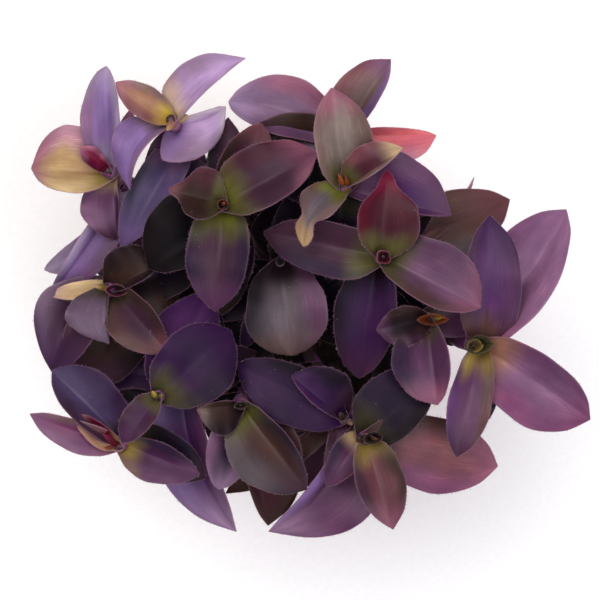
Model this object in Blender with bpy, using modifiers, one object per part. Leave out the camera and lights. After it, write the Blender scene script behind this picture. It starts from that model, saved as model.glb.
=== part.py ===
# Potted purple heart: a plain tapered pot, its soil, and fifteen leafy stems.
# Metres, +Z up. The origin is the centre of the pot's flat underside.

import math
import random

import bmesh
import bpy
from mathutils import Vector
from mathutils.bvhtree import BVHTree

MM = 0.001
UP = Vector((0.0, 0.0, 1.0))

# Pot, in millimetres
POT_HEIGHT = 120.0
POT_TOP_RADIUS = 70.0
POT_BASE_RADIUS = 47.0
RIM_BAND_HEIGHT = 24.0
RIM_BAND_STEP = 4.0
RIM_BAND_TAPER = 1.0
POT_WALL = 5.0
POT_FLOOR = 7.0
EDGE_SOFTENING = 1.2
POT_STEPS = 32
DRAIN_HOLES = 5
DRAIN_RADIUS = 4.5
DRAIN_RING_RADIUS = 24.0
DRAIN_SIDES = 8
CUT_OVERSHOOT = 5.0

# Soil, in millimetres
SEAT_GAP = 0.3
SOIL_TOP = 107.0
SOIL_CROWN = 4.0
SOIL_LUMP = 1.1
SOIL_STEPS = 20
SOIL_RINGS = (0.3, 0.6, 0.85, 1.0)
SOIL_WAVES = ((0.31, 0.0, 0.6), (0.0, 0.27, 1.17), (0.23, -0.37, 1.9))
STEM_HOLE_DEPTH = 15.0
STEM_HOLE_SIDES = 8

# Stems, in millimetres
STEM_FOOT_RADIUS = 3.4
STEM_TIP_RADIUS = 2.5
JOINT_SWELL = 0.5
STEM_COLLAR = 7.0
STEM_POINTS = 7
LEAN_START = 0.3
TURN_UP = 0.5
BUD_HEIGHT = 11.0
BUD_RADIUS = 3.0
BUD_TIP_RADIUS = 0.9
BUD_SHOULDER = (0.55, 0.8)

# Leaves, in millimetres
BLADE_THICKNESS = 1.1
BLADE_CLEARANCE = 0.7
BASE_PHASE = 0.13
WIDTH_POWER = 0.62
TIP_CROWDING = 1.4
TRUE_WIDTH_GAIN = 1.08
STEEPEST_FOLD = 2.2
FOLD_AT_BASE = 1.25
FOLD_FALL = 0.75
LAMINA_CURL = 0.3
FREE_BLADE_START = 0.4
FULL_GRID = (5, 4)
PLAIN_GRID = (4, 2)
SMALL_HALF_WIDTH = 9.5

# Older leaves below each crown
OLDER_DROPS = (14.0, 24.0, 34.0)
OLDER_LENGTH = (46.0, 58.0)
OLDER_HALF_WIDTH = (12.0, 15.0)
OLDER_TURN = 137.5
OLDER_SEED = 11
OLDER_ARCH = 8.0
OLDER_TURNS = (0, 24, -24, 48, -48, 72, -72, 96, -96, 120, -120, 150, 180)
OLDER_SIZES = (1.0, 0.86)
OLDER_RISES = (2, -6, -14, -22, 8)
OLDER_ABOVE_RIM = 4.0

# Outline of the whole mound seen from above, in millimetres, that the older leaves keep inside
MOUND_OUTLINE = (
    (-97, 112), (-84, 86), (-36, 116), (-24, 108), (42, 114), (44, 92), (60, 82),
    (60, 64), (74, 58), (104, 48), (130, 42), (128, 8), (112, -18), (138, -54), (122, -60),
    (98, -62), (94, -80), (66, -92), (48, -110), (22, -115), (-14, -112), (-32, -112),
    (-62, -92), (-94, -76), (-128, -56), (-122, -36), (-130, -8), (-124, 20),
    (-108, 38), (-106, 50), (-130, 66), (-116, 84),
)

# Each stem: foot in the soil (x, y), crown (x, y, z), then its leaves, in millimetres.
# A leaf: layer, drop of its base below the crown, tip x, tip y, tip rise above the base,
# arch, half width left, half width right, sideways bow. Layer 0 lies on top of layer 1.
STEMS = (
    ("leafy_stem_01", (-37, 25), (-96.5, 65, 158), (
        (0, 2, -97, 117, 10, 9, 13, 6.5, 0),
        (0, 4, -135, 66, -2, 8, 11.5, 23, 0),
        (0, 0, -108, 75, 9, 2, 4.5, 4.5, 0),
        (0, 6, -92, 30, 4, 8, 2.5, 16.5, 0),
        (2, 12, -85, 96, 4, 6, 6, 6, 0),
        (1, 14, -126, 1.5, -8, 9, 9, 6, 2),
        (2, 18, -129, 15, -10, 8, 9, 5, 4),
    )),
    ("leafy_stem_02", (-25, 36), (-64.5, 90, 174), (
        (0, 3, -27, 120.5, 10, 9, 13, 6, 5),
        (0, 0, -92, 108.5, 8, 5, 8, 8, 0),
        (0, 5, -85, 55, 2, 9, 4, 13, -3),
        (0, 9, -37, 96.5, 2, 8, 6, 13, -4),
        (1, 20, -90, 26, -8, 10, 8.5, 12, 0),
    )),
    ("leafy_stem_03", (-17, 18), (-39, 48, 184), (
        (0, 1, -65.5, 55, 7, 4, 6, 10, 0),
        (0, 4, 9, 73.5, 0, 10, 19, 12.5, 0),
        (0, 7, -42.5, -6, -2, 11, 15, 16.5, 0),
        (2, 18, -36, 91.5, -4, 7, 10, 10, 0),
    )),
    ("leafy_stem_04", (8, 22), (22.5, 57, 192), (
        (0, 5, 15.5, 105.5, 8, 9, 12, 16.5, 0),
        (0, 1, 51, 75.5, 10, 4, 12, 3, 0),
        (0, 3, 1.5, 26.5, 4, 7, 7.5, 8.5, -6),
        (1, 13, 75.5, 42, -4, 7, 21, 4, 0),
    )),
    ("leafy_stem_05", (17, 8), (41, 22, 188), (
        (0, 1, 43, 65, 8, 8, 12.5, 17, 0),
        (0, 6, -18.5, 34, -10, 6, 15.5, 12, 0),
        (0, 4, 90, -4, -8, 9, 21, 11, 0),
        (1, 24, 105.5, 50.5, -16, 8, 17, 11, 0),
        (2, 20, 29.5, -39.5, -12, 7, 8, 17, 0),
        (2, 16, 87.5, 62, -8, 7, 5, 8, 0),
    )),
    ("leafy_stem_06", (9, 36), (21.5, 84, 162), (
        (1, 6, -30.5, 80.5, -4, 8, 8, 10, 0),
        (1, 9, -36, 100, -6, 9, 12.5, 17.5, -4),
        (1, 6, 68.5, 82.5, -6, 8, 4, 12, 0),
        (1, 2, 45.5, 120.5, 6, 8, 16, 6.5, 0),
    )),
    ("leafy_stem_07", (38, -11), (91, -23, 170), (
        (0, 2, 94.5, 42.5, 10, 9, 7, 18.5, 0),
        (1, 9, 133.5, 45.5, -4, 9, 22, 14.5, -2),
        (0, 5, 145.5, -60, -8, 9, 14.5, 21.5, 0),
        (0, 3, 78, -78.5, 9, 8, 13, 8.5, 0),
    )),
    ("leafy_stem_08", (28, -5), (64, -10, 174), (
        (0, 1, 38, -15, 5, 4, 11, 9, 0),
        (0, 4, 68.5, -52.5, 5, 7, 8.5, 20, 0),
    )),
    ("leafy_stem_09", (-6, 4), (-10, 19, 162), (
        (1, 4, -4, -28, -2, 10, 21, 21, 0),
        (2, 9, -30, -26, -6, 8, 7, 6, 0),
    )),
    ("leafy_stem_10", (2, -22), (22, -60, 164), (
        (0, 3, -31, -32, 4, 8, 10.5, 13.5, 0),
        (0, 6, -4.5, -37.5, 0, 7, 4, 16, 0),
        (2, 9, 13.5, -92, -2, 5, 4.5, 4.5, 0),
        (2, 12, 4, -89, -6, 6, 10, 10, 0),
        (2, 16, -37.5, -97.5, -12, 8, 11, 9, 0),
    )),
    ("leafy_stem_11", (17, -33), (33, -70, 175), (
        (0, 6, 66, -36, -14, 5, 16.5, 14, 0),
        (0, 3, 99.5, -83.5, -18, 6, 20, 19.5, 0),
        (0, 1, 46.5, -114.5, 2, 7, 14, 13.5, 0),
        (1, 24, -16, -116.5, -10, 7, 25, 3, 8),
    )),
    ("leafy_stem_12", (-14, -22), (-30, -52.5, 170), (
        (0, 3, 3.5, -95, -4, 8, 9, 22, 0),
        (0, 0, -51.5, -54.5, 6, 3, 14, 3, 0),
        (2, 12, -16, -113.5, -14, 8, 18, 6, 0),
        (2, 8, -41, -95, -8, 7, 7, 8, 0),
    )),
    ("leafy_stem_13", (-29, -19), (-71.5, -48.5, 170), (
        (0, 0, -89, -71.5, 4, 5, 6.5, 9, 0),
        (0, 4, -34.5, -15, 0, 10, 18, 18, 0),
        (1, 11, -46, 3.5, -8, 9, 15, 16, 0),
        (1, 24, -32, -117, -18, 6, 9, 17, -7),
    )),
    ("leafy_stem_14", (-38, -29), (-91, -73, 160), (
        (0, 4, -50, -87.5, 2, 7, 12, 13.5, 0),
        (0, 3, -135.5, -57, -2, 7, 10, 6, 1),
        (0, 0, -112.5, -57, 7, 3, 7, 4.5, 0),
        (1, 8, -124.5, -35, 0, 7, 10, 10, 0),
    )),
    ("leafy_stem_15", (-39, 1), (-96, 5.5, 156), (
        (0, 2, -69, 19, 7, 6, 15, 4, 0),
        (0, 0, -95.5, -22, 4, 6, 2, 19, 0),
        (0, 4, -66, -26.5, 0, 7, 7, 13.5, 0),
        (1, 8, -64, 15, -6, 7, 16, 12, 0),
        (2, 10, -132, 2, -6, 7, 5, 5, 0),
        (1, 12, -106, -43.5, -6, 8, 17, 14, 0),
        (1, 15, -125, -36, -8, 8, 8, 19, -11),
    )),
)

# Ways to bend a leaf clear of its neighbours: change of tip rise and of arch
BENDS = sorted(
    ((rise, arch) for rise in range(-24, 19, 3) for arch in (0, -3, 3, -6)),
    key=lambda bend: abs(bend[0]) + 1.4 * abs(bend[1]) + (0.5 if bend[0] > 0 else 0.0),
)


def clear_scene():
    for item in list(bpy.data.objects):
        bpy.data.objects.remove(item, do_unlink=True)


def new_collection(name):
    collection = bpy.data.collections.new(name)
    bpy.context.scene.collection.children.link(collection)
    return collection


def make_material(name, colour, roughness):
    material = bpy.data.materials.new(name)
    material.use_nodes = True
    shader = material.node_tree.nodes["Principled BSDF"]
    shader.inputs["Base Color"].default_value = (*colour, 1.0)
    shader.inputs["Roughness"].default_value = roughness
    shader.inputs["Metallic"].default_value = 0.0
    material.diffuse_color = (*colour, 1.0)
    return material


def add_object(name, mesh, collection, material=None):
    made = bpy.data.objects.new(name, mesh)
    collection.objects.link(made)
    if material:
        mesh.materials.append(material)
    return made


def baked(made):
    """Give an object the mesh that its modifiers make, and drop the modifiers."""
    bpy.context.view_layer.update()
    graph = bpy.context.evaluated_depsgraph_get()
    mesh = bpy.data.meshes.new_from_object(made.evaluated_get(graph))
    made.modifiers.clear()
    made.data = mesh
    return made


def turned(name, profile, steps, collection, material):
    """Turn a profile of (radius, height) in millimetres about Z."""
    mesh = bpy.data.meshes.new(name)
    points = [(radius * MM, 0.0, height * MM) for radius, height in profile]
    edges = [(i, i + 1) for i in range(len(points) - 1)]
    mesh.from_pydata(points, edges, [])
    made = add_object(name, mesh, collection, material)
    screw = made.modifiers.new("turn", "SCREW")
    screw.steps = steps
    screw.render_steps = steps
    screw.use_merge_vertices = True
    screw.merge_threshold = 0.0001
    return made


def cutter(name, radius, span, x, y, collection, sides):
    """A round upright cutting tool between two heights."""
    low, high = span
    bm = bmesh.new()
    bmesh.ops.create_cone(
        bm, cap_ends=True, segments=sides, radius1=radius * MM, radius2=radius * MM,
        depth=(high - low) * MM,
    )
    mesh = bpy.data.meshes.new(name)
    bm.to_mesh(mesh)
    bm.free()
    made = add_object(name, mesh, collection)
    made.location = (x * MM, y * MM, (low + high) / 2 * MM)
    made.hide_render = True
    made.display_type = "WIRE"
    return made


def cut_all(made, cutters):
    for tool in cutters:
        cut = made.modifiers.new(tool.name, "BOOLEAN")
        cut.operation = "DIFFERENCE"
        cut.object = tool


def shade(made, angle):
    made.data.shade_smooth()
    made.data.set_sharp_from_angle(angle=math.radians(angle))


def pot_radius(height):
    """Outer radius of the tapered wall below the rim band."""
    top = POT_TOP_RADIUS - RIM_BAND_STEP
    return POT_BASE_RADIUS + (top - POT_BASE_RADIUS) * height / POT_HEIGHT


def make_pot(parts, cutters, material):
    band = POT_HEIGHT - RIM_BAND_HEIGHT
    soft = EDGE_SOFTENING
    profile = [
        (0.0, POT_FLOOR),
        (pot_radius(POT_FLOOR) - POT_WALL, POT_FLOOR),
        (pot_radius(band) - POT_WALL, band),
        (pot_radius(POT_HEIGHT) - POT_WALL, POT_HEIGHT - soft),
        (pot_radius(POT_HEIGHT) - POT_WALL + soft, POT_HEIGHT),
        (POT_TOP_RADIUS - soft, POT_HEIGHT),
        (POT_TOP_RADIUS, POT_HEIGHT - soft),
        (POT_TOP_RADIUS - RIM_BAND_TAPER, band + soft),
        (POT_TOP_RADIUS - RIM_BAND_TAPER - soft, band),
        (pot_radius(band), band),
        (pot_radius(soft), soft),
        (POT_BASE_RADIUS - soft, 0.0),
        (0.0, 0.0),
    ]
    pot = turned("pot", profile, POT_STEPS, parts, material)
    tools = []
    for index in range(DRAIN_HOLES):
        angle = 2 * math.pi * index / DRAIN_HOLES
        x = DRAIN_RING_RADIUS * math.cos(angle)
        y = DRAIN_RING_RADIUS * math.sin(angle)
        name = f"drain_{index}"
        span = (-CUT_OVERSHOOT, POT_FLOOR + CUT_OVERSHOOT)
        tools.append(cutter(name, DRAIN_RADIUS, span, x, y, cutters, DRAIN_SIDES))
    cut_all(pot, tools)
    baked(pot)
    shade(pot, 35)
    return pot


def soil_height(x, y):
    """Top of the soil in millimetres: a low crown with soft lumps."""
    reach = math.hypot(x, y) / (pot_radius(SOIL_TOP) - POT_WALL)
    first, second, third = (math.sin(a * x + b * y + c) for a, b, c in SOIL_WAVES)
    lumps = first * second + 0.6 * third
    return SOIL_TOP + SOIL_CROWN * (1 - reach * reach) + SOIL_LUMP * lumps * (1 - reach ** 6)


def make_soil(parts, cutters, material):
    inner = pot_radius(SOIL_TOP) - POT_WALL - SEAT_GAP
    low = POT_FLOOR + SEAT_GAP
    profile = [(0.0, SOIL_TOP)]
    for share in SOIL_RINGS:
        profile.append((inner * share, SOIL_TOP))
    profile.append((pot_radius(low) - POT_WALL - SEAT_GAP, low))
    profile.append((0.0, low))
    soil = turned("soil", profile, SOIL_STEPS, parts, material)
    baked(soil)
    for vertex in soil.data.vertices:
        if vertex.co.z > (SOIL_TOP - SOIL_LUMP) * MM:
            vertex.co.z = soil_height(vertex.co.x / MM, vertex.co.y / MM) * MM
    tools = []
    for name, foot, crown, leaves in STEMS:
        radius = STEM_FOOT_RADIUS / math.cos(math.pi / STEM_HOLE_SIDES) + SEAT_GAP
        span = (SOIL_TOP - STEM_HOLE_DEPTH - SEAT_GAP, SOIL_TOP + SOIL_CROWN + CUT_OVERSHOOT)
        hole = cutter("hole_" + name, radius, span, *foot, cutters, STEM_HOLE_SIDES)
        tools.append(hole)
    cut_all(soil, tools)
    baked(soil)
    shade(soil, 50)
    return soil


def stem_path(foot, crown):
    """Points up a stem: straight out of its hole, leaning out, then turned up to the crown."""
    start = Vector((foot[0], foot[1], SOIL_TOP - STEM_HOLE_DEPTH))
    collar = Vector((foot[0], foot[1], SOIL_TOP + STEM_COLLAR))
    end = Vector(crown)
    rise = end.z - collar.z
    lean = collar + UP * LEAN_START * rise
    turn_up = end - UP * TURN_UP * rise
    points = [start]
    for index in range(STEM_POINTS):
        t = index / (STEM_POINTS - 1)
        low = (1 - t) ** 3 * collar + 3 * t * (1 - t) ** 2 * lean
        points.append(low + 3 * t * t * (1 - t) * turn_up + t ** 3 * end)
    return points


def stem_at(path, drop):
    """The point of a stem that lies drop millimetres below its crown."""
    height = path[-1].z - drop
    for low, high in zip(path, path[1:]):
        if low.z <= height <= high.z:
            return low.lerp(high, (height - low.z) / (high.z - low.z))
    return path[-1].copy()


def stem_mesh(name, path, collection):
    """A jointed, tapering stem that ends in the closed bud of its next leaf."""
    count = len(path)
    points = []
    for index, point in enumerate(path):
        share = index / (count - 1)
        radius = STEM_FOOT_RADIUS + (STEM_TIP_RADIUS - STEM_FOOT_RADIUS) * share
        if index % 2 and index > 1:
            radius += JOINT_SWELL
        points.append((point, radius))
    points[-1] = (path[-1], BUD_RADIUS)
    rise, narrowing = BUD_SHOULDER
    points.append((path[-1] + UP * BUD_HEIGHT * rise, BUD_RADIUS * narrowing))
    points.append((path[-1] + UP * BUD_HEIGHT, BUD_TIP_RADIUS))
    curve = bpy.data.curves.new(name, "CURVE")
    curve.dimensions = "3D"
    curve.bevel_depth = MM
    curve.bevel_resolution = 1
    curve.use_fill_caps = True
    spline = curve.splines.new("POLY")
    spline.points.add(len(points) - 1)
    for slot, (point, radius) in zip(spline.points, points):
        slot.co = (*(point * MM), 1.0)
        slot.radius = radius
    guide = bpy.data.objects.new(name + "_curve", curve)
    collection.objects.link(guide)
    bpy.context.view_layer.update()
    graph = bpy.context.evaluated_depsgraph_get()
    mesh = bpy.data.meshes.new_from_object(guide.evaluated_get(graph))
    bm = bmesh.new()
    bm.from_mesh(mesh)
    bmesh.ops.remove_doubles(bm, verts=bm.verts, dist=0.00001)
    bm.to_mesh(mesh)
    bm.free()
    made = add_object(name, mesh, collection)
    made.matrix_world = guide.matrix_world
    bpy.data.objects.remove(guide, do_unlink=True)
    return made


def half_width(t):
    """Width of a leaf along its length, as a share of its widest: clasping base, point."""
    return max(0.0, math.sin(math.pi * (BASE_PHASE + (1 - BASE_PHASE) * t))) ** WIDTH_POWER


def fold_slope(half, widest):
    """How steeply a half blade rises from the midrib, so that both halves are as wide."""
    true_width = TRUE_WIDTH_GAIN * widest
    return min(STEEPEST_FOLD, math.sqrt((true_width / half) ** 2 - 1))


def leaf_point(leaf, t, side):
    """A point of a leaf: t runs from base to tip, side from 1 at the left edge to -1."""
    base, tip = leaf["base"], leaf["tip"]
    run = Vector((tip.x - base.x, tip.y - base.y, 0.0)).normalized()
    left = Vector((-run.y, run.x, 0.0))
    hump = 4 * t * (1 - t)
    point = base.lerp(tip, t) + left * leaf["bow"] * hump + UP * leaf["arch"] * hump
    half = leaf["left"] if side > 0 else leaf["right"]
    slope = fold_slope(half, max(leaf["left"], leaf["right"]))
    slope *= FOLD_AT_BASE - FOLD_FALL * t
    reach = abs(side) * half * half_width(t)
    rise = reach * slope * (1 + LAMINA_CURL - LAMINA_CURL * abs(side))
    return point + left * math.copysign(reach, side) + UP * rise


def blade_bmesh(leaf, grid):
    """A leaf as one open sheet: a grid laid along it, with its last row drawn to a point."""
    along, across = grid
    bm = bmesh.new()
    bmesh.ops.create_grid(bm, x_segments=along, y_segments=across, size=0.5)
    for vertex in bm.verts:
        t = 1 - max(0.0, 0.5 - vertex.co.x) ** TIP_CROWDING
        vertex.co = leaf_point(leaf, t, 2 * vertex.co.y) * MM
    bmesh.ops.remove_doubles(bm, verts=bm.verts, dist=0.00001)
    bmesh.ops.triangulate(bm, faces=bm.faces, quad_method="SHORT_EDGE")
    bm.normal_update()
    return bm


def skin_trees(leaf, grid, spread):
    """Search trees of a leaf's two faces, spread apart: the whole leaf, and its free part."""
    bm = blade_bmesh(leaf, grid)
    bm.verts.index_update()
    reach = spread * MM
    upper = [v.co + v.normal * reach for v in bm.verts]
    lower = [v.co - v.normal * reach for v in bm.verts]
    count = len(upper)
    base = leaf["base"] * MM
    span = (leaf["tip"] * MM - base).length * FREE_BLADE_START
    faces, free = [], []
    for face in bm.faces:
        corner = [v.index for v in face.verts]
        both = (corner, [index + count for index in corner])
        faces.extend(both)
        if min((upper[index] - base).length for index in corner) > span:
            free.extend(both)
    bm.free()
    points = upper + lower
    return BVHTree.FromPolygons(points, faces), BVHTree.FromPolygons(points, free)


def mesh_tree(made):
    mesh = made.data
    points = [made.matrix_world @ vertex.co for vertex in mesh.vertices]
    return BVHTree.FromPolygons(points, [list(face.vertices) for face in mesh.polygons])


def crossings(leaf, grid, stem_index, placed, solids):
    """How many triangle pairs of this leaf meet other stems, other leaves or the pot."""
    full = dict(leaf)
    full["left"] = leaf["left"] + BLADE_CLEARANCE
    full["right"] = leaf["right"] + BLADE_CLEARANCE
    whole, free = skin_trees(full, grid, BLADE_THICKNESS / 2 + BLADE_CLEARANCE)
    count = 0
    for owner, tree in solids:
        if owner != stem_index:
            count += len(whole.overlap(tree))
    for owner, other_whole, other_free in placed:
        if owner == stem_index:
            count += len(free.overlap(other_free))
        else:
            count += len(whole.overlap(other_whole))
    return count


def bent(leaf, rise, arch):
    changed = dict(leaf)
    changed["tip"] = leaf["tip"] + UP * rise
    changed["arch"] = leaf["arch"] + arch
    return changed


def bend_clear(leaf, grid, stem_index, placed, solids):
    """The least bend of a leaf that keeps it clear, and how many crossings are left."""
    best, fewest = None, None
    for rise, arch in BENDS:
        trial = bent(leaf, rise, arch)
        count = crossings(trial, grid, stem_index, placed, solids)
        if count == 0:
            return trial, 0
        if fewest is None or count < fewest:
            best, fewest = trial, count
    return best, fewest


def inside_mound(point):
    """Whether a point lies inside the mound's outline, seen from above."""
    inside = False
    count = len(MOUND_OUTLINE)
    for index in range(count):
        x1, y1 = MOUND_OUTLINE[index]
        x2, y2 = MOUND_OUTLINE[(index + 1) % count]
        if (y1 > point.y) != (y2 > point.y):
            if point.x < x1 + (point.y - y1) * (x2 - x1) / (y2 - y1):
                inside = not inside
    return inside


def keeps_inside(leaf):
    spots = ((1.0, 0.0), (0.75, 1.0), (0.75, -1.0), (0.45, 1.0), (0.45, -1.0))
    return all(inside_mound(leaf_point(leaf, t, side)) for t, side in spots)


def placed_leaves(paths, solids):
    """Every leaf of every stem, each bent clear of those that lie above it."""
    placed = []
    grown = [[] for stem in STEMS]
    left_over = []
    for layer in (0, 1, 2):
        for index, (name, foot, crown, rows) in enumerate(STEMS):
            for row in rows:
                if row[0] != layer:
                    continue
                base = stem_at(paths[index], row[1])
                leaf = {
                    "base": base, "tip": Vector((row[2], row[3], base.z + row[4])),
                    "arch": row[5], "left": row[6], "right": row[7], "bow": row[8],
                }
                plain = layer == 2 or max(row[6], row[7]) < SMALL_HALF_WIDTH
                grid = PLAIN_GRID if plain else FULL_GRID
                leaf, count = bend_clear(leaf, grid, index, placed, solids)
                if count:
                    left_over.append((name, row, count))
                grown[index].append((leaf, grid))
                trees = skin_trees(leaf, grid, BLADE_THICKNESS / 2)
                placed.append((index, *trees))
    draw = random.Random(OLDER_SEED)
    for level, drop in enumerate(OLDER_DROPS):
        for index, (name, foot, crown, rows) in enumerate(STEMS):
            leaf = older_leaf(index, level, drop, paths[index], draw, placed, solids)
            if leaf:
                grown[index].append((leaf, PLAIN_GRID))
                trees = skin_trees(leaf, PLAIN_GRID, BLADE_THICKNESS / 2)
                placed.append((index, *trees))
    return grown, left_over


def older_leaf(index, level, drop, path, draw, placed, solids):
    """One leaf lower on a stem, turned until it finds room, or none."""
    base = stem_at(path, drop)
    start = math.radians(OLDER_TURN * level + draw.uniform(0, 360))
    length = draw.uniform(*OLDER_LENGTH)
    half = draw.uniform(*OLDER_HALF_WIDTH)
    if base.z < POT_HEIGHT + OLDER_ABOVE_RIM:
        return None
    for turn in OLDER_TURNS:
        for size in OLDER_SIZES:
            angle = start + math.radians(turn)
            reach = Vector((math.cos(angle), math.sin(angle), 0.0)) * length * size
            for rise in OLDER_RISES:
                leaf = {
                    "base": base, "tip": base + reach + UP * rise, "arch": OLDER_ARCH,
                    "left": half * size, "right": half * size, "bow": 0.0,
                }
                if not keeps_inside(leaf):
                    break
                if crossings(leaf, PLAIN_GRID, index, placed, solids) == 0:
                    return leaf
    return None


def blade_object(name, leaf, grid, collection):
    bm = blade_bmesh(leaf, grid)
    mesh = bpy.data.meshes.new(name)
    bm.to_mesh(mesh)
    bm.free()
    made = add_object(name, mesh, collection)
    thick = made.modifiers.new("thickness", "SOLIDIFY")
    thick.thickness = BLADE_THICKNESS * MM
    thick.offset = 0.0
    return made


def keep_main_body(mesh):
    """Keep the one outer skin of a joined body: sealed hollows are filled, scraps dropped."""
    bm = bmesh.new()
    bm.from_mesh(mesh)
    bmesh.ops.triangulate(bm, faces=bm.faces)
    pieces = []
    seen = set()
    for face in bm.faces:
        if face in seen:
            continue
        piece, queue = [], [face]
        seen.add(face)
        while queue:
            current = queue.pop()
            piece.append(current)
            for edge in current.edges:
                for other in edge.link_faces:
                    if other not in seen:
                        seen.add(other)
                        queue.append(other)
        pieces.append(piece)
    pieces.sort(key=len)
    scraps = [face for piece in pieces[:-1] for face in piece]
    bmesh.ops.delete(bm, geom=scraps, context="FACES")
    bm.to_mesh(mesh)
    bm.free()


def join_stem(stem, blades):
    """Fuse a stem with its leaves in one body."""
    join = stem.modifiers.new("join", "BOOLEAN")
    join.operation = "UNION"
    join.operand_type = "COLLECTION"
    join.collection = blades
    join.solver = "EXACT"
    baked(stem)
    for blade in list(blades.objects):
        bpy.data.objects.remove(blade, do_unlink=True)
    keep_main_body(stem.data)
    shade(stem, 30)


def build():
    clear_scene()
    parts = new_collection("potted_purple_heart")
    cutters = new_collection("cutters")
    blades = new_collection("blades")
    clay = make_material("fired clay", (0.52, 0.21, 0.11), 0.85)
    earth = make_material("potting soil", (0.035, 0.022, 0.015), 0.95)
    foliage = make_material("purple leaf", (0.12, 0.05, 0.13), 0.5)

    pot = make_pot(parts, cutters, clay)
    soil = make_soil(parts, cutters, earth)
    paths = [stem_path(foot, crown) for name, foot, crown, rows in STEMS]
    stems = [stem_mesh(row[0], path, parts) for row, path in zip(STEMS, paths)]
    bpy.context.view_layer.update()
    solids = [(-1, mesh_tree(pot)), (-1, mesh_tree(soil))]
    solids += [(index, mesh_tree(stem)) for index, stem in enumerate(stems)]
    grown, left_over = placed_leaves(paths, solids)
    for stem, leaves in zip(stems, grown):
        for number, (leaf, grid) in enumerate(leaves):
            blade_object(f"blade_{number}", leaf, grid, blades)
        join_stem(stem, blades)
        stem.data.materials.clear()
        stem.data.materials.append(foliage)
    for row in left_over:
        print("still crossing:", row)
    print("leaves:", sum(len(leaves) for leaves in grown))


build()
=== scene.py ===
import math
import random

import bmesh
import bpy
import numpy as np
from mathutils import Matrix, Vector, noise
from mathutils.bvhtree import BVHTree


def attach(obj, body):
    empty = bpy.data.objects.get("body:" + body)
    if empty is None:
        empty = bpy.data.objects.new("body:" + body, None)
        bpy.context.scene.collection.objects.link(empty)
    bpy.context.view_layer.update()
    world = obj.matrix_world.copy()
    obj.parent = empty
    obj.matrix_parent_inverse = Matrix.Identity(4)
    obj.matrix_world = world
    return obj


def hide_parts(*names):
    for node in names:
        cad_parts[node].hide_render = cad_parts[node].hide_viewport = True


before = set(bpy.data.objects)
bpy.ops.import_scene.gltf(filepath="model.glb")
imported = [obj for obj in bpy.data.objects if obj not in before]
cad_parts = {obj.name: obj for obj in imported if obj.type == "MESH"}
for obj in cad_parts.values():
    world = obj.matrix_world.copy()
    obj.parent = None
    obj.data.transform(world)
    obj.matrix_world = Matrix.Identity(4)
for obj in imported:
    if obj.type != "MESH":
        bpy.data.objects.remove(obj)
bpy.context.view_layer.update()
mm = 0.001
up = Vector((0.0, 0.0, 1.0))
fullTurn = 2 * math.pi
leafSlot, stemSlot, hairSlot = 0, 1, 2      # material slots of a leafy stem
noRim = 2.0                                 # mm from the edge, too far in for the pale rim
print("frame loaded:", len(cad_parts), "nodes")

# Hues of the plant, sRGB: green leaf bases, brown and plum blades, violet, pale pink margins, and
# near-black hues that serve as painted shade deep in the mound
palette = {
    "pearl": "#d8cad6", "orchid": "#b39bbb", "silver": "#a799b0", "lilac": "#937ba6",
    "heather": "#90778f", "violet": "#7b638a", "slate": "#5d5070", "purple": "#573660",
    "indigo": "#40284a", "dusk": "#2e2136", "navy": "#25222f", "night": "#1b141c",
    "soot": "#241a1f", "umber": "#3b2a27", "cocoa": "#583f3c", "clay": "#744c53",
    "maroon": "#4d2b35", "wine": "#5a2230", "crimson": "#7d2342", "berry": "#774a67",
    "fig": "#48303f", "plum": "#5e3e59", "mauve": "#7f6079", "rose": "#9b6b7d",
    "blush": "#b08a9c", "coral": "#c98086", "rust": "#9a5638", "tan": "#a07c6c",
    "taupe": "#776260", "ash": "#80736f", "cream": "#cdb595", "straw": "#b59a7c",
    "butter": "#998659", "gold": "#bfa864", "smoke": "#5c5057", "grape": "#4b2f4a",
    "lime": "#6a6a38", "moss": "#5a553a", "olive": "#433d2c",
}


def linear(hexColour):
    channels = [int(hexColour[i:i + 2], 16) / 255 for i in (1, 3, 5)]
    return [c / 12.92 if c <= 0.04045 else ((c + 0.055) / 1.055) ** 2.4 for c in channels]


def rgba(hexColour):
    return (*linear(hexColour), 1.0)


skinDepth, skinContrast = 0.88, 1.12     # the hues are as seen under gloss, the bare skin is deeper
hues = {name: skinDepth * np.array(linear(value)) ** skinContrast
        for name, value in palette.items()}


def newMaterial(name):
    material = bpy.data.materials.new(name)
    material.use_nodes = True
    return material, material.node_tree, material.node_tree.nodes["Principled BSDF"]


def setNode(tree, node, settings, links):
    # both go by socket name or number, and any other setting belongs to the node itself
    for key, value in settings.items():
        if key == "stops":
            points = node.color_ramp.elements
            while len(points) < len(value):
                points.new(0.5)
            for point, (place, shade) in zip(points, value):
                point.position = place
                point.color = rgba(shade)
        elif isinstance(key, int) or key in node.inputs:
            node.inputs[key].default_value = value
        else:
            setattr(node, key, value)
    for key, source in links.items():
        if isinstance(source, bpy.types.Node):          # a node stands for its first output in use
            source = next(socket for socket in source.outputs if socket.enabled)
        tree.links.new(source, node.inputs[key])
    return node


# By number: Map Range has the value, its two bounds and the two new ones, from 0 to 4, and a Mix of
# colours has the amount at 0 and the colours at 6 and 7
def addNode(tree, kind, settings=None, links=None):
    return setNode(tree, tree.nodes.new("ShaderNode" + kind), settings or {}, links or {})


def addObject(name, data):
    made = bpy.data.objects.new(name, data)
    bpy.context.scene.collection.objects.link(made)
    return made


def bmeshObject(bm, name):
    mesh = bpy.data.meshes.new(name)
    bm.to_mesh(mesh)
    bm.free()
    return addObject(name, mesh)


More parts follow.
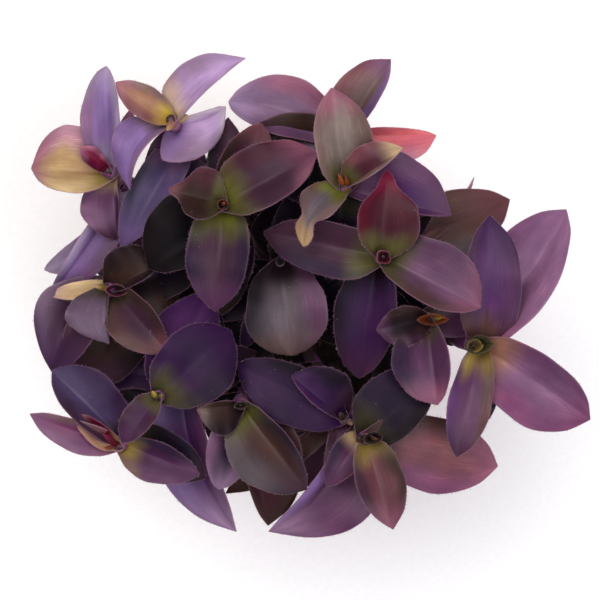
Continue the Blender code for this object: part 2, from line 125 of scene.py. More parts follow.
leafFinish = {
    "patterns": {                       # mm along the blade, mm across it, detail
        "veins": (45.0, 0.9, 3.0),      # real ones are about 0.4 mm apart, drawn coarser to show
        "clouds": (17.6, 11.0, 3.0),    # patches of hue
        "silk": (12.0, 0.55, 2.0),      # silvery streaks, real hairs are finer
        "sheenPatches": (17.0, 10.2, 2.0),  # where the streaks gather into patches of painted sheen
        "dotted": (9.0, 9.0, 2.0),      # where the dots show
        "cells": (0.35, 0.35, 1.0),     # skin cells are about 0.15 mm, drawn coarser
    },
    "patternRoughness": 0.55,
    "saturation": 1.18,
    "veinShade": 0.08,                  # how far veins lighten and darken the skin
    "cloudShade": (0.78, 1.2), "cloudHue": (0.488, 0.516),
    "silkSheenAmount": 0.34, "silkSheenUnder": 0.1,           # on top and on the underside
    "silkSheenLight": 2.2, "silkSheenGrey": 0.45,             # times as light, and the saturation left
    "dotSpacing": 2.6, "dotSize": (0.05, 0.13),     # mm, and shares of it
    "dotColour": "#a8939f", "dotAmount": 0.28,
    "margin": 0.22,                     # mm, pale rim
    "marginColour": "#8f6478", "marginAmount": 0.4,
    "undersideColour": "#7d4379", "undersideAmount": 0.6,
    "cellRelief": 0.35, "relief": 0.3, "reliefHeight": 0.35,    # share, strength, mm
    "roughness": (0.4, 0.54), "gloss": (0.12, 0.5),
}


def leafMaterial():
    # a living leaf with a waxy skin: satin gloss, fine lengthwise veins, silvery silk with patches
    # of painted sheen, pink rim, over a tint that holds painted light and shade
    look = leafFinish
    material, tree, shader = newMaterial("Purple heart leaf, grown, waxy skin with silk hairs")
    blade = addNode(tree, "Attribute", {"attribute_name": "blade"}).outputs["Vector"]
    tint = addNode(tree, "Attribute", {"attribute_name": "tint"}).outputs["Color"]
    edge = addNode(tree, "Attribute", {"attribute_name": "edge"}).outputs["Fac"]
    under = addNode(tree, "Attribute", {"attribute_name": "under"}).outputs["Fac"]
    depth = addNode(tree, "RGBToBW", {}, {0: tint})
    pattern = {}
    for name, (along, across, detail) in look["patterns"].items():
        place = addNode(tree, "Mapping", {"Scale": (1 / along, 1 / across, 1.0)}, {"Vector": blade})
        settings = {"Scale": 1.0, "Detail": detail, "Roughness": look["patternRoughness"]}
        pattern[name] = addNode(tree, "TexNoise", settings, {"Vector": place})

    # the blade's own hues, lighter and darker along the veins and in clouds
    dark, light = 1 - look["veinShade"], 1 + look["veinShade"]
    veined = addNode(tree, "MapRange", {1: 0.3, 2: 0.7, 3: dark, 4: light}, {0: pattern["veins"]})
    dark, light = look["cloudShade"]
    clouded = addNode(tree, "MapRange", {1: 0.3, 2: 0.7, 3: dark, 4: light}, {0: pattern["clouds"]})
    cool, warm = look["cloudHue"]
    turned = addNode(tree, "MapRange", {1: 0.25, 2: 0.75, 3: cool, 4: warm}, {0: pattern["clouds"]})
    value = addNode(tree, "Math", {"operation": "MULTIPLY"}, {0: veined, 1: clouded})
    skin = addNode(tree, "HueSaturation", {"Saturation": look["saturation"]},
                   {"Color": tint, "Value": value, "Hue": turned})

    # silvery silk streaks, partly painted sheen: strongest in patches and thin on the underside
    streaks = addNode(tree, "MapRange", {1: 0.52, 2: 0.74}, {0: pattern["silk"]})
    patches = addNode(tree, "MapRange", {1: 0.5, 2: 0.66}, {0: pattern["sheenPatches"]})
    amount = addNode(tree, "MapRange", {3: look["silkSheenAmount"], 4: look["silkSheenUnder"]}, {0: under})
    silk = addNode(tree, "Math", {"operation": "MULTIPLY"}, {0: streaks, 1: patches})
    silk = addNode(tree, "Math", {"operation": "MULTIPLY"}, {0: silk, 1: amount})
    lighter = addNode(tree, "MapRange", {3: 1.0, 4: look["silkSheenLight"]}, {0: silk})
    greyer = addNode(tree, "MapRange", {3: 1.0, 4: look["silkSheenGrey"]}, {0: silk})
    skin = addNode(tree, "HueSaturation", {},
                   {"Color": skin, "Value": lighter, "Saturation": greyer})

    # a few pale dots, the violet underside, and the rim, which is faint where the tint is dark: on
    # old leaves and on leaves painted in shade
    dense = 1 / look["dotSpacing"]
    place = addNode(tree, "Mapping", {"Scale": (dense, dense, 1.0)}, {"Vector": blade})
    spots = addNode(tree, "TexVoronoi", {"Scale": 1.0}, {"Vector": place})
    small, large = look["dotSize"]
    spots = addNode(tree, "MapRange", {1: small, 2: large, 3: 1.0, 4: 0.0}, {0: spots})
    rare = addNode(tree, "MapRange", {1: 0.54, 2: 0.66, 4: look["dotAmount"]},
                   {0: pattern["dotted"]})
    dots = addNode(tree, "Math", {"operation": "MULTIPLY"}, {0: spots, 1: rare})
    back = addNode(tree, "MapRange", {4: look["undersideAmount"]}, {0: under})
    inner, outer = look["margin"] * 0.5, look["margin"] * 1.6
    line = addNode(tree, "MapRange", {1: inner, 2: outer, 3: look["marginAmount"], 4: 0.0},
                   {0: edge})
    brightTint = addNode(tree, "MapRange", {1: 0.005, 2: 0.08, 3: 0.35}, {0: depth})
    rim = addNode(tree, "Math", {"operation": "MULTIPLY"}, {0: line, 1: brightTint})
    for amount, key in ((dots, "dotColour"), (back, "undersideColour"), (rim, "marginColour")):
        skin = addNode(tree, "Mix", {"data_type": "RGBA", 7: rgba(look[key])}, {0: amount, 6: skin})

    relief = addNode(tree, "Math", {"operation": "MULTIPLY_ADD", 1: look["cellRelief"]},
                     {0: pattern["cells"], 2: pattern["veins"]})
    settings = {"Strength": look["relief"], "Distance": look["reliefHeight"] * mm}
    bump = addNode(tree, "Bump", settings, {"Height": relief})
    smooth, rough = look["roughness"]
    satin = addNode(tree, "MapRange", {1: 0.25, 2: 0.75, 3: smooth, 4: rough},
                    {0: pattern["cells"]})
    dull, glossy = look["gloss"]        # gloss is cut where the tint is dark: on old leaves and on leaves painted in shade
    gloss = addNode(tree, "MapRange", {1: 0.003, 2: 0.04, 3: dull, 4: glossy}, {0: depth})
    setNode(tree, shader, {
        "IOR": 1.36, "Subsurface Weight": 0.12, "Subsurface Radius": (1.0, 0.35, 0.5),
        "Subsurface Scale": 1.2 * mm, "Sheen Weight": 0.04, "Sheen Roughness": 0.4,
        "Sheen Tint": (1.0, 0.86, 0.95, 1.0),
    }, {"Base Color": skin, "Roughness": satin, "Normal": bump, "Specular IOR Level": gloss})
    return material


stalkFinish = {
    "streak": 0.8, "streakLength": 16.0,        # mm, the stem's fine stripes, about as real
    "streakColour": "#4a2c47", "streakAmount": 0.65,
    "cell": 0.4,                                # mm, skin cells, drawn coarser
    "cellRelief": 0.3, "relief": 0.4, "reliefHeight": 0.3,      # share, strength, mm
    "roughness": (0.3, 0.48),
}


def stalkMaterial():
    # a juicy jointed stem under a thin cuticle: semi-gloss, striped with purple over green
    look = stalkFinish
    material, tree, shader = newMaterial("Purple heart stem, grown, smooth cuticle")
    blade = addNode(tree, "Attribute", {"attribute_name": "blade"}).outputs["Vector"]
    tint = addNode(tree, "Attribute", {"attribute_name": "tint"}).outputs["Color"]
    along = addNode(tree, "Mapping", {"Scale": (1 / look["streakLength"], 1 / look["streak"], 1.0)},
                    {"Vector": blade})
    streaks = addNode(tree, "TexNoise", {"Scale": 1.0, "Detail": 3.0}, {"Vector": along})
    amount = addNode(tree, "MapRange", {1: 0.46, 2: 0.62, 4: look["streakAmount"]}, {0: streaks})
    skin = addNode(tree, "Mix", {"data_type": "RGBA", 7: rgba(look["streakColour"])},
                   {0: amount, 6: tint})
    fine = addNode(tree, "Mapping", {"Scale": (1 / look["cell"],) * 3}, {"Vector": blade})
    cells = addNode(tree, "TexNoise", {"Scale": 1.0, "Detail": 1.0}, {"Vector": fine})
    relief = addNode(tree, "Math", {"operation": "MULTIPLY_ADD", 1: look["cellRelief"]},
                     {0: cells, 2: streaks})
    settings = {"Strength": look["relief"], "Distance": look["reliefHeight"] * mm}
    bump = addNode(tree, "Bump", settings, {"Height": relief})
    smooth, rough = look["roughness"]
    shine = addNode(tree, "MapRange", {3: smooth, 4: rough}, {0: streaks})
    setNode(tree, shader, {
        "IOR": 1.43, "Subsurface Weight": 0.15, "Subsurface Radius": (1.0, 0.6, 0.4),
        "Subsurface Scale": 2 * mm,
    }, {"Base Color": skin, "Roughness": shine, "Normal": bump})
    return material


hairFinish = {
    "colour": "#9c7f8d", "paleness": (0.35, 0.85),
    "patch": 11.1,          # mm, where hairs are more or less pale
}


def hairMaterial():
    # fine silk hairs on leaf rims: pale, soft, catching the light
    look = hairFinish
    material, tree, shader = newMaterial("Leaf hair, grown, silky")
    tint = addNode(tree, "Attribute", {"attribute_name": "tint"}).outputs["Color"]
    place = addNode(tree, "TexCoord").outputs["Object"]
    patch = addNode(tree, "TexNoise", {"Scale": 1 / (look["patch"] * mm), "Detail": 2.0},
                    {"Vector": place})
    least, most = look["paleness"]
    amount = addNode(tree, "MapRange", {3: least, 4: most}, {0: patch})
    skin = addNode(tree, "Mix", {"data_type": "RGBA", 7: rgba(look["colour"])},
                   {0: amount, 6: tint})
    setNode(tree, shader, {"Roughness": 0.5, "IOR": 1.5}, {"Base Color": skin})
    return material


# Where every leaf goes, by the same rule as the solids. Lengths in millimetres, turns in degrees
plant = {
    "potHeight": 120.0, "soilTop": 107.0, "stemHole": 15.0, "stemCollar": 7.0, "stemPoints": 7,
    "footRadius": 3.4, "tipRadius": 2.5, "jointSwell": 0.5,
    "leanStart": 0.3, "turnUp": 0.5,            # shares of the rise that bend out and back up
    "budHeight": 11.0, "budRadius": 3.0, "budTip": 0.9, "budShoulder": (0.55, 0.8),
    "bladeThickness": 1.1, "clearance": 0.7,
    "basePhase": 0.13, "widthPower": 0.62, "tipCrowding": 1.4,      # outline of a blade
    "trueWidthGain": 1.08, "steepestFold": 2.2, "foldAtBase": 1.25, "foldFall": 0.75, "curl": 0.3,
    "freeBladeStart": 0.4, "fullGrid": (5, 4), "plainGrid": (4, 2), "smallHalf": 9.5,
    # a leaf is bent clear of its neighbours by a change of tip rise and of arch, the least first
    "bendRises": range(-24, 19, 3), "bendArches": (0, -3, 3, -6), "archCost": 1.4, "upCost": 0.5,
    # older leaves low in the mound, their hues scaled darker as painted shade
    "olderDrops": (14.0, 24.0, 34.0), "olderLength": (46.0, 58.0), "olderHalf": (12.0, 15.0),
    "olderTurn": 137.5, "olderSeed": 11, "olderArch": 8.0, "olderAboveRim": 4.0, "olderShadeFactor": 0.5,
    "olderTurns": (0, 24, -24, 48, -48, 72, -72, 96, -96, 120, -120, 150, 180),
    "olderSizes": (1.0, 0.86), "olderRises": (2, -6, -14, -22, 8),
    # places of a blade that have to lie inside the mound, as shares of its length and half width
    "olderSpots": ((1.0, 0.0), (0.75, 1.0), (0.75, -1.0), (0.45, 1.0), (0.45, -1.0)),
    "weld": 0.01,                               # points closer than this are one
}

# Outline of the mound seen from above, that the older leaves keep inside
moundOutline = (
    (-97, 112), (-84, 86), (-36, 116), (-24, 108), (42, 114), (44, 92), (60, 82),
    (60, 64), (74, 58), (104, 48), (130, 42), (128, 8), (112, -18), (138, -54), (122, -60),
    (98, -62), (94, -80), (66, -92), (48, -110), (22, -115), (-14, -112), (-32, -112),
    (-62, -92), (-94, -76), (-128, -56), (-122, -36), (-130, -8), (-124, 20),
    (-108, 38), (-106, 50), (-130, 66), (-116, 84),
)

# Each stem: node, foot in the soil, crown, then its leaves. A leaf: layer, drop of its base below
# the crown, tip x, tip y, tip rise, arch, half width left, half width right, sideways bow, its
# hues at the base, middle, tip, left edge and right edge, and what the drawn blade does its own
# way: outline, half widths, bow, fold, lift of the tip, reach, sweep of a wing, paleness
# The hues and the paleness hold painted light and shade besides each leaf's own colour: a wing that
# faces the light has a lighter edge hue, one turned away a darker one, and leaves deep in the mound
# get near-black hues and lower paleness, as painted shade
stems = (
    ("leafy_stem_01", (-37, 25), (-96.5, 65, 158), (
        (0, 2, -97, 117, 10, 9, 13, 6.5, 0, "silver lilac silver mauve silver", {"form": "blunt"}),
        (0, 4, -135, 66, -2, 8, 11.5, 23, 0, "butter straw rose cream blush", {"form": "full"}),
        (0, 0, -108, 75, 9, 2, 4.5, 4.5, 0, "wine crimson rose wine rose",
         {"form": "shell", "left": 4.5, "right": 5, "reach": 1.12, "lift": 3}),
        (0, 6, -92, 30, 4, 8, 2.5, 16.5, 0, "cream plum fig dusk mauve", {"form": "blunt"}),
        (2, 12, -85, 96, 4, 6, 6, 6, 0, "plum mauve rose plum plum"),
        (1, 14, -126, 1.5, -8, 9, 9, 6, 2, "silver violet slate plum silver",
         {"form": "full", "left": 12, "right": 6, "lift": 5}),
        (2, 18, -129, 15, -10, 8, 9, 5, 4, "silver silver silver mauve silver",
         {"form": "shell", "left": 11, "right": 5.5, "pale": 0.85}),
    )),
    ("leafy_stem_02", (-25, 36), (-64.5, 90, 174), (
        (0, 3, -27, 120.5, 10, 9, 13, 6, 5, "cream orchid orchid heather orchid",
         {"form": "tapered", "left": 14.5, "right": 4, "bow": 4}),
        (0, 0, -92, 108.5, 8, 5, 8, 8, 0, "gold tan rose clay taupe"),
        (0, 5, -85, 55, 2, 9, 4, 13, -3, "taupe lilac violet heather violet",
         {"bow": -9, "pale": 0.88}),
        (0, 9, -37, 96.5, 2, 8, 6, 13, -4, "lilac orchid pearl pearl heather",
         {"form": "full", "left": 4.5, "right": 17, "bow": -3, "swept": 18, "pale": 0.97}),
        (1, 20, -90, 26, -8, 10, 8.5, 12, 0, "mauve slate violet slate navy",
         {"left": 10, "lift": 5}),
    )),
    ("leafy_stem_03", (-17, 18), (-39, 48, 184), (
        (0, 1, -65.5, 55, 7, 4, 6, 10, 0, "moss umber clay umber maroon",
         {"form": "beaked", "left": 10, "right": 15}),
        (0, 4, 9, 73.5, 0, 10, 19, 12.5, 0, "lime fig rose maroon fig"),
        (0, 7, -42.5, -6, -2, 11, 15, 16.5, 0, "lime fig plum dusk dusk"),
        (2, 18, -36, 91.5, -4, 7, 10, 10, 0, "soot fig fig night navy"),
    )),
    ("leafy_stem_04", (8, 22), (22.5, 57, 192), (
        (0, 5, 15.5, 105.5, 8, 9, 12, 16.5, 0, "moss ash rose taupe cocoa"),
        (0, 1, 51, 75.5, 10, 4, 12, 3, 0, "moss maroon cream clay taupe"),
        (0, 3, 1.5, 26.5, 4, 7, 7.5, 8.5, -6, "lime smoke straw taupe cocoa", {"form": "waisted"}),
        (1, 13, 75.5, 42, -4, 7, 21, 4, 0, "mauve purple plum plum indigo", {"left": 24}),
    )),
    ("leafy_stem_05", (17, 8), (41, 22, 188), (
        (0, 1, 43, 65, 8, 8, 12.5, 17, 0, "moss maroon crimson wine maroon", {"form": "beaked"}),
        (0, 6, -18.5, 34, -10, 6, 15.5, 12, 0, "moss fig fig dusk fig"),
        (0, 4, 90, -4, -8, 9, 21, 11, 0, "moss mauve rose plum cocoa",
         {"form": "full", "lift": 8, "pale": 0.75}),
        (1, 24, 105.5, 50.5, -16, 8, 17, 11, 0, "moss cocoa clay cocoa smoke",
         {"form": "full", "right": 18}),
        (2, 20, 29.5, -39.5, -12, 7, 8, 17, 0, "soot indigo plum indigo night",
         {"left": 14, "form": "full"}),
        (2, 16, 87.5, 62, -8, 7, 5, 8, 0, "cocoa cocoa blush clay cocoa",
         {"left": 2.5, "right": 2.5, "bow": -9, "lift": -14}),
    )),
    ("leafy_stem_06", (9, 36), (21.5, 84, 162), (
        (1, 6, -30.5, 80.5, -4, 8, 8, 10, 0, "olive umber plum heather umber",
         {"lift": 8, "right": 12}),
        (1, 9, -36, 100, -6, 9, 12.5, 17.5, -4, "heather heather orchid plum rose",
         {"form": "shell", "lift": -6}),
        (1, 6, 68.5, 82.5, -6, 8, 4, 12, 0, "blush coral coral coral blush",
         {"form": "full", "right": 15, "pale": 1.25}),
        (1, 2, 45.5, 120.5, 6, 8, 16, 6.5, 0, "cocoa taupe mauve clay violet"),
    )),
    ("leafy_stem_07", (38, -11), (91, -23, 170), (
        (0, 2, 94.5, 42.5, 10, 9, 7, 18.5, 0, "cocoa purple indigo fig grape",
         {"left": 12, "fold": 0.35}),
        (1, 9, 133.5, 45.5, -4, 9, 22, 14.5, -2, "rose mauve mauve plum mauve",
         {"form": "full", "pale": 1.22}),
        (0, 5, 145.5, -60, -8, 9, 14.5, 21.5, 0, "tan mauve berry plum berry",
         {"form": "full", "pale": 1.05}),
        (0, 3, 78, -78.5, 9, 8, 13, 8.5, 0, "butter plum fig cocoa purple",
         {"form": "full", "left": 11.5, "right": 10}),
    )),
    ("leafy_stem_08", (28, -5), (64, -10, 174), (
        (0, 1, 38, -15, 5, 4, 11, 9, 0, "umber soot plum fig umber"),
        (0, 4, 68.5, -52.5, 5, 7, 8.5, 20, 0, "moss plum rose plum dusk", {"form": "full"}),
    )),
    ("leafy_stem_09", (-6, 4), (-10, 19, 162), (
        (1, 4, -4, -28, -2, 10, 21, 21, 0, "soot smoke taupe plum night", {"form": "shell"}),
        (2, 9, -30, -26, -6, 8, 7, 6, 0, "soot dusk dusk soot soot"),
    )),
    ("leafy_stem_10", (2, -22), (22, -60, 164), (
        (0, 3, -31, -32, 4, 8, 10.5, 13.5, 0, "indigo indigo indigo indigo night",
         {"form": "blunt", "left": 16, "fold": 0.25, "pale": 0.65}),
        (0, 6, -4.5, -37.5, 0, 7, 4, 16, 0, "fig indigo indigo indigo night",
         {"right": 17, "lift": 16}),
        (2, 9, 13.5, -92, -2, 5, 4.5, 4.5, 0, "fig fig fig dusk fig"),
        (2, 12, 4, -89, -6, 6, 10, 10, 0, "soot fig fig dusk fig",
         {"form": "blunt", "left": 12, "reach": 1.15}),
        (2, 16, -37.5, -97.5, -12, 8, 11, 9, 0, "umber cocoa umber umber soot"),
    )),
    ("leafy_stem_11", (17, -33), (33, -70, 175), (
        (0, 6, 66, -36, -14, 5, 16.5, 14, 0, "olive dusk dusk dusk soot",
         {"fold": 0.45, "left": 19, "right": 14, "lift": 12, "pale": 0.68}),
        (0, 3, 99.5, -83.5, -18, 6, 20, 19.5, 0, "umber clay rose umber berry",
         {"form": "full", "left": 18.5, "fold": 0.15, "lift": -8}),
        (0, 1, 46.5, -114.5, 2, 7, 14, 13.5, 0, "butter clay rose umber fig",
         {"left": 13, "right": 11, "pale": 0.78}),
        (1, 24, -16, -116.5, -10, 7, 25, 3, 8, "butter plum heather plum lilac", {"right": 7}),
    )),
    ("leafy_stem_12", (-14, -22), (-30, -52.5, 170), (
        (0, 3, 3.5, -95, -4, 8, 9, 22, 0, "lime cocoa fig dusk smoke",
         {"form": "full", "pale": 0.72}),
        (0, 0, -51.5, -54.5, 6, 3, 14, 3, 0, "soot umber taupe soot umber"),
        (2, 12, -16, -113.5, -14, 8, 18, 6, 0, "soot maroon umber umber umber",
         {"form": "full", "left": 24}),
        (2, 8, -41, -95, -8, 7, 7, 8, 0, "soot dusk heather plum mauve",
         {"form": "blunt", "left": 12, "right": 11}),
    )),
    ("leafy_stem_13", (-29, -19), (-71.5, -48.5, 170), (
        (0, 0, -89, -71.5, 4, 5, 6.5, 9, 0, "moss grape grape fig fig"),
        (0, 4, -34.5, -15, 0, 10, 18, 18, 0, "moss indigo indigo indigo dusk",
         {"form": "full", "right": 20.5, "pale": 0.8}),
        (1, 11, -46, 3.5, -8, 9, 15, 16, 0, "dusk purple purple indigo dusk",
         {"form": "blunt", "left": 18}),
        (1, 24, -32, -117, -18, 6, 9, 17, -7, "slate purple heather plum violet", {"right": 19.5}),
    )),
    ("leafy_stem_14", (-38, -29), (-91, -73, 160), (
        (0, 4, -50, -87.5, 2, 7, 12, 13.5, 0, "butter grape plum dusk plum",
         {"left": 8, "right": 12.5}),
        (0, 3, -135.5, -57, -2, 7, 10, 6, 1, "clay berry mauve mauve taupe"),
        (0, 0, -112.5, -57, 7, 3, 7, 4.5, 0, "butter maroon clay tan wine"),
        (1, 8, -124.5, -35, 0, 7, 10, 10, 0, "umber slate slate fig indigo",
         {"form": "full", "right": 17, "pale": 0.7}),
    )),
    ("leafy_stem_15", (-39, 1), (-96, 5.5, 156), (
        (0, 2, -69, 19, 7, 6, 15, 4, 0, "umber umber soot soot night", {"left": 17}),
        (0, 0, -95.5, -22, 4, 6, 2, 19, 0, "moss heather heather umber heather",
         {"left": 1.5, "bow": -2, "pale": 0.44}),
        (0, 4, -66, -26.5, 0, 7, 7, 13.5, 0, "olive fig clay umber cocoa",
         {"lift": 20, "left": 9, "right": 15}),
        (1, 8, -64, 15, -6, 7, 16, 12, 0, "umber soot soot soot umber",
         {"form": "full", "reach": 1.15, "right": 20}),
        (2, 10, -132, 2, -6, 7, 5, 5, 0, "butter cream blush cream cream",
         {"form": "tapered", "lift": 12, "reach": 0.9, "left": 4, "right": 6}),
        (1, 12, -106, -43.5, -6, 8, 17, 14, 0, "umber umber fig night fig",
         {"form": "full", "left": 21, "right": 22, "lift": -3}),
        (1, 15, -125, -36, -8, 8, 8, 19, -11, "mauve plum purple plum heather",
         {"form": "shell", "left": 15, "right": 20, "pale": 0.52}),
    )),
)

# Older leaves: hues by their level, near black deeper down as painted shade, and those that show
# have their own, by stem and drop
olderShadedHues = ("olive dusk fig dusk soot", "soot night dusk dusk soot", "soot dusk umber night soot")
olderTouches = {
    ("leafy_stem_01", 14.0): ("plum plum dusk plum mauve", {"lift": -7}),
    ("leafy_stem_01", 34.0): ("soot dusk dusk soot soot", {"reach": 0.55}),
    ("leafy_stem_02", 14.0): ("plum dusk night dusk soot",
     {"form": "full", "reach": 1.1, "left": 15, "right": 16}),
    ("leafy_stem_02", 24.0): ("soot dusk dusk night soot", {"reach": 0.3, "left": 5, "right": 5}),
    ("leafy_stem_02", 34.0): ("soot dusk dusk night soot", {"reach": 0.6, "left": 6, "right": 6}),
    ("leafy_stem_03", 14.0): ("umber fig clay umber cocoa",
     {"form": "blunt", "reach": 0.88, "left": 11.5}),
    ("leafy_stem_03", 24.0): ("soot night soot night soot",
     {"form": "full", "right": 25, "fold": 0.4, "pale": 0.5}),
    ("leafy_stem_07", 14.0): ("soot dusk dusk dusk soot", {"right": 3, "bow": 5}),
    ("leafy_stem_08", 14.0): ("olive plum plum fig plum", {}),
    ("leafy_stem_11", 14.0): ("cream plum plum fig dusk", {"reach": 0.6, "left": 7, "right": 9}),
    ("leafy_stem_11", 24.0): ("soot night dusk dusk soot", {"reach": 0.75, "pale": 0.6}),
    ("leafy_stem_12", 14.0): ("soot dusk soot dusk soot", {"reach": 0.55, "pale": 0.6}),
    ("leafy_stem_14", 34.0): ("tan indigo dusk indigo soot",
     {"form": "blunt", "reach": 1.12, "left": 18, "right": 18}),
}

# Outlines of drawn blades: how far the widest place moves to the tip, share that draws to a point
leafForms = {
    "pointed": (1.0, 0.2), "full": (1.2, 0.12), "blunt": (1.15, 0.06), "shell": (1.45, 0.05),
    "waisted": (1.0, 0.06), "beaked": (0.95, 0.1), "tapered": (0.8, 0.3),
}


def bendCost(bend):
    rise, arch = bend
    return abs(rise) + plant["archCost"] * abs(arch) + (plant["upCost"] if rise > 0 else 0.0)


bends = sorted(((rise, arch) for rise in plant["bendRises"] for arch in plant["bendArches"]),
               key=bendCost)


def stemPath(foot, crown, count):
    # straight out of its hole, leaning out, then turned up to the crown
    start = Vector((foot[0], foot[1], plant["soilTop"] - plant["stemHole"]))
    collar = Vector((foot[0], foot[1], plant["soilTop"] + plant["stemCollar"]))
    end = Vector(crown)
    rise = end.z - collar.z
    lean = collar + up * plant["leanStart"] * rise
    turnUp = end - up * plant["turnUp"] * rise
    points = [start]
    for index in range(count):
        t = index / (count - 1)
        low = (1 - t) ** 3 * collar + 3 * t * (1 - t) ** 2 * lean
        points.append(low + 3 * t * t * (1 - t) * turnUp + t ** 3 * end)
    return points


def stemAt(path, drop):
    height = path[-1].z - drop
    for low, high in zip(path, path[1:]):
        if low.z <= height <= high.z:
            return low.lerp(high, (height - low.z) / (high.z - low.z))
    return path[-1].copy()


def stemTree(path):
    # the plain stem of the solid part, only to keep leaves clear of it
    points = []
    for index, point in enumerate(path):
        share = index / (len(path) - 1)
        radius = plant["footRadius"] + (plant["tipRadius"] - plant["footRadius"]) * share
        if index % 2 and index > 1:
            radius += plant["jointSwell"]
        points.append((point, radius))
    rise, narrowing = plant["budShoulder"]
    points[-1] = (path[-1], plant["budRadius"])
    points.append((path[-1] + up * plant["budHeight"] * rise, plant["budRadius"] * narrowing))
    points.append((path[-1] + up * plant["budHeight"], plant["budTip"]))
    curve = bpy.data.curves.new("stemGuide", "CURVE")
    curve.dimensions = "3D"
    curve.bevel_depth = mm
    curve.bevel_resolution = 1
    curve.use_fill_caps = True
    spline = curve.splines.new("POLY")
    spline.points.add(len(points) - 1)
    for slot, (point, radius) in zip(spline.points, points):
        slot.co = (*(point * mm), 1.0)
        slot.radius = radius
    guide = addObject("stemGuide", curve)
    bpy.context.view_layer.update()
    solved = guide.evaluated_get(bpy.context.evaluated_depsgraph_get())
    mesh = bpy.data.meshes.new_from_object(solved)
    bm = bmesh.new()
    bm.from_mesh(mesh)
    bmesh.ops.remove_doubles(bm, verts=bm.verts, dist=plant["weld"] * mm)
    tree = BVHTree.FromBMesh(bm)
    bm.free()
    bpy.data.objects.remove(guide, do_unlink=True)
    bpy.data.curves.remove(curve)
    bpy.data.meshes.remove(mesh)
    return tree


def widthShare(t):
    phase = plant["basePhase"]
    return max(0.0, math.sin(math.pi * (phase + (1 - phase) * t))) ** plant["widthPower"]


def foldSlope(half, widest):
    trueWidth = plant["trueWidthGain"] * widest
    return min(plant["steepestFold"], math.sqrt((trueWidth / half) ** 2 - 1))


def leafPoint(leaf, t, side):
    base, tip = leaf["base"], leaf["tip"]
    run = Vector((tip.x - base.x, tip.y - base.y, 0.0)).normalized()
    left = Vector((-run.y, run.x, 0.0))
    hump = 4 * t * (1 - t)
    point = base.lerp(tip, t) + left * leaf["bow"] * hump + up * leaf["arch"] * hump
    half = leaf["left"] if side > 0 else leaf["right"]
    slope = foldSlope(half, max(leaf["left"], leaf["right"]))
    slope *= plant["foldAtBase"] - plant["foldFall"] * t
    reach = abs(side) * half * widthShare(t)
    rise = reach * slope * (1 + plant["curl"] - plant["curl"] * abs(side))
    return point + left * math.copysign(reach, side) + up * rise


def skinTrees(leaf, grid, spread):
    # search trees of a leaf's two faces, spread apart: the whole leaf, and its free part
    bm = bmesh.new()
    bmesh.ops.create_grid(bm, x_segments=grid[0], y_segments=grid[1], size=0.5)
    for vertex in bm.verts:
        t = 1 - max(0.0, 0.5 - vertex.co.x) ** plant["tipCrowding"]
        vertex.co = leafPoint(leaf, t, 2 * vertex.co.y) * mm
    bmesh.ops.remove_doubles(bm, verts=bm.verts, dist=plant["weld"] * mm)
    bmesh.ops.triangulate(bm, faces=bm.faces, quad_method="SHORT_EDGE")
    bm.normal_update()
    bm.verts.index_update()
    reach = spread * mm
    upper = [v.co + v.normal * reach for v in bm.verts]
    lower = [v.co - v.normal * reach for v in bm.verts]
    count = len(upper)
    base = leaf["base"] * mm
    span = (leaf["tip"] * mm - base).length * plant["freeBladeStart"]
    faces, free = [], []
    for face in bm.faces:
        corner = [v.index for v in face.verts]
        both = (corner, [index + count for index in corner])
        faces.extend(both)
        if min((upper[index] - base).length for index in corner) > span:
            free.extend(both)
    bm.free()
    return BVHTree.FromPolygons(upper + lower, faces), BVHTree.FromPolygons(upper + lower, free)


def crossings(leaf, grid, owner, placed, solids):
    wider = dict(leaf)
    wider["left"] += plant["clearance"]
    wider["right"] += plant["clearance"]
    whole, free = skinTrees(wider, grid, plant["bladeThickness"] / 2 + plant["clearance"])
    count = sum(len(whole.overlap(tree)) for other, tree in solids if other != owner)
    for other, otherWhole, otherFree in placed:
        pairs = free.overlap(otherFree) if other == owner else whole.overlap(otherWhole)
        count += len(pairs)
    return count


def bendClear(leaf, grid, owner, placed, solids):
    best, fewest = None, None
    for rise, arch in bends:
        trial = dict(leaf)
        trial["tip"] = leaf["tip"] + up * rise
        trial["arch"] = leaf["arch"] + arch
        count = crossings(trial, grid, owner, placed, solids)
        if count == 0:
            return trial
        if fewest is None or count < fewest:
            best, fewest = trial, count
    return best


def insideMound(point):
    inside = False
    for (x1, y1), (x2, y2) in zip(moundOutline, moundOutline[1:] + moundOutline[:1]):
        if (y1 > point.y) == (y2 > point.y):
            continue
        if point.x < x1 + (point.y - y1) * (x2 - x1) / (y2 - y1):
            inside = not inside
    return inside


def olderLeaf(owner, level, drop, path, draw, placed, solids):
    base = stemAt(path, drop)
    start = math.radians(plant["olderTurn"] * level + draw.uniform(0, 360))
    length = draw.uniform(*plant["olderLength"])
    half = draw.uniform(*plant["olderHalf"])
    if base.z < plant["potHeight"] + plant["olderAboveRim"]:
        return None
    for turn in plant["olderTurns"]:
        for size in plant["olderSizes"]:
            angle = start + math.radians(turn)
            reach = Vector((math.cos(angle), math.sin(angle), 0.0)) * length * size
            for rise in plant["olderRises"]:
                leaf = {"base": base, "tip": base + reach + up * rise, "arch": plant["olderArch"],
                        "left": half * size, "right": half * size, "bow": 0.0}
                spots = (leafPoint(leaf, t, side) for t, side in plant["olderSpots"])
                if not all(insideMound(spot) for spot in spots):
                    break
                if crossings(leaf, plant["plainGrid"], owner, placed, solids) == 0:
                    return leaf
    return None


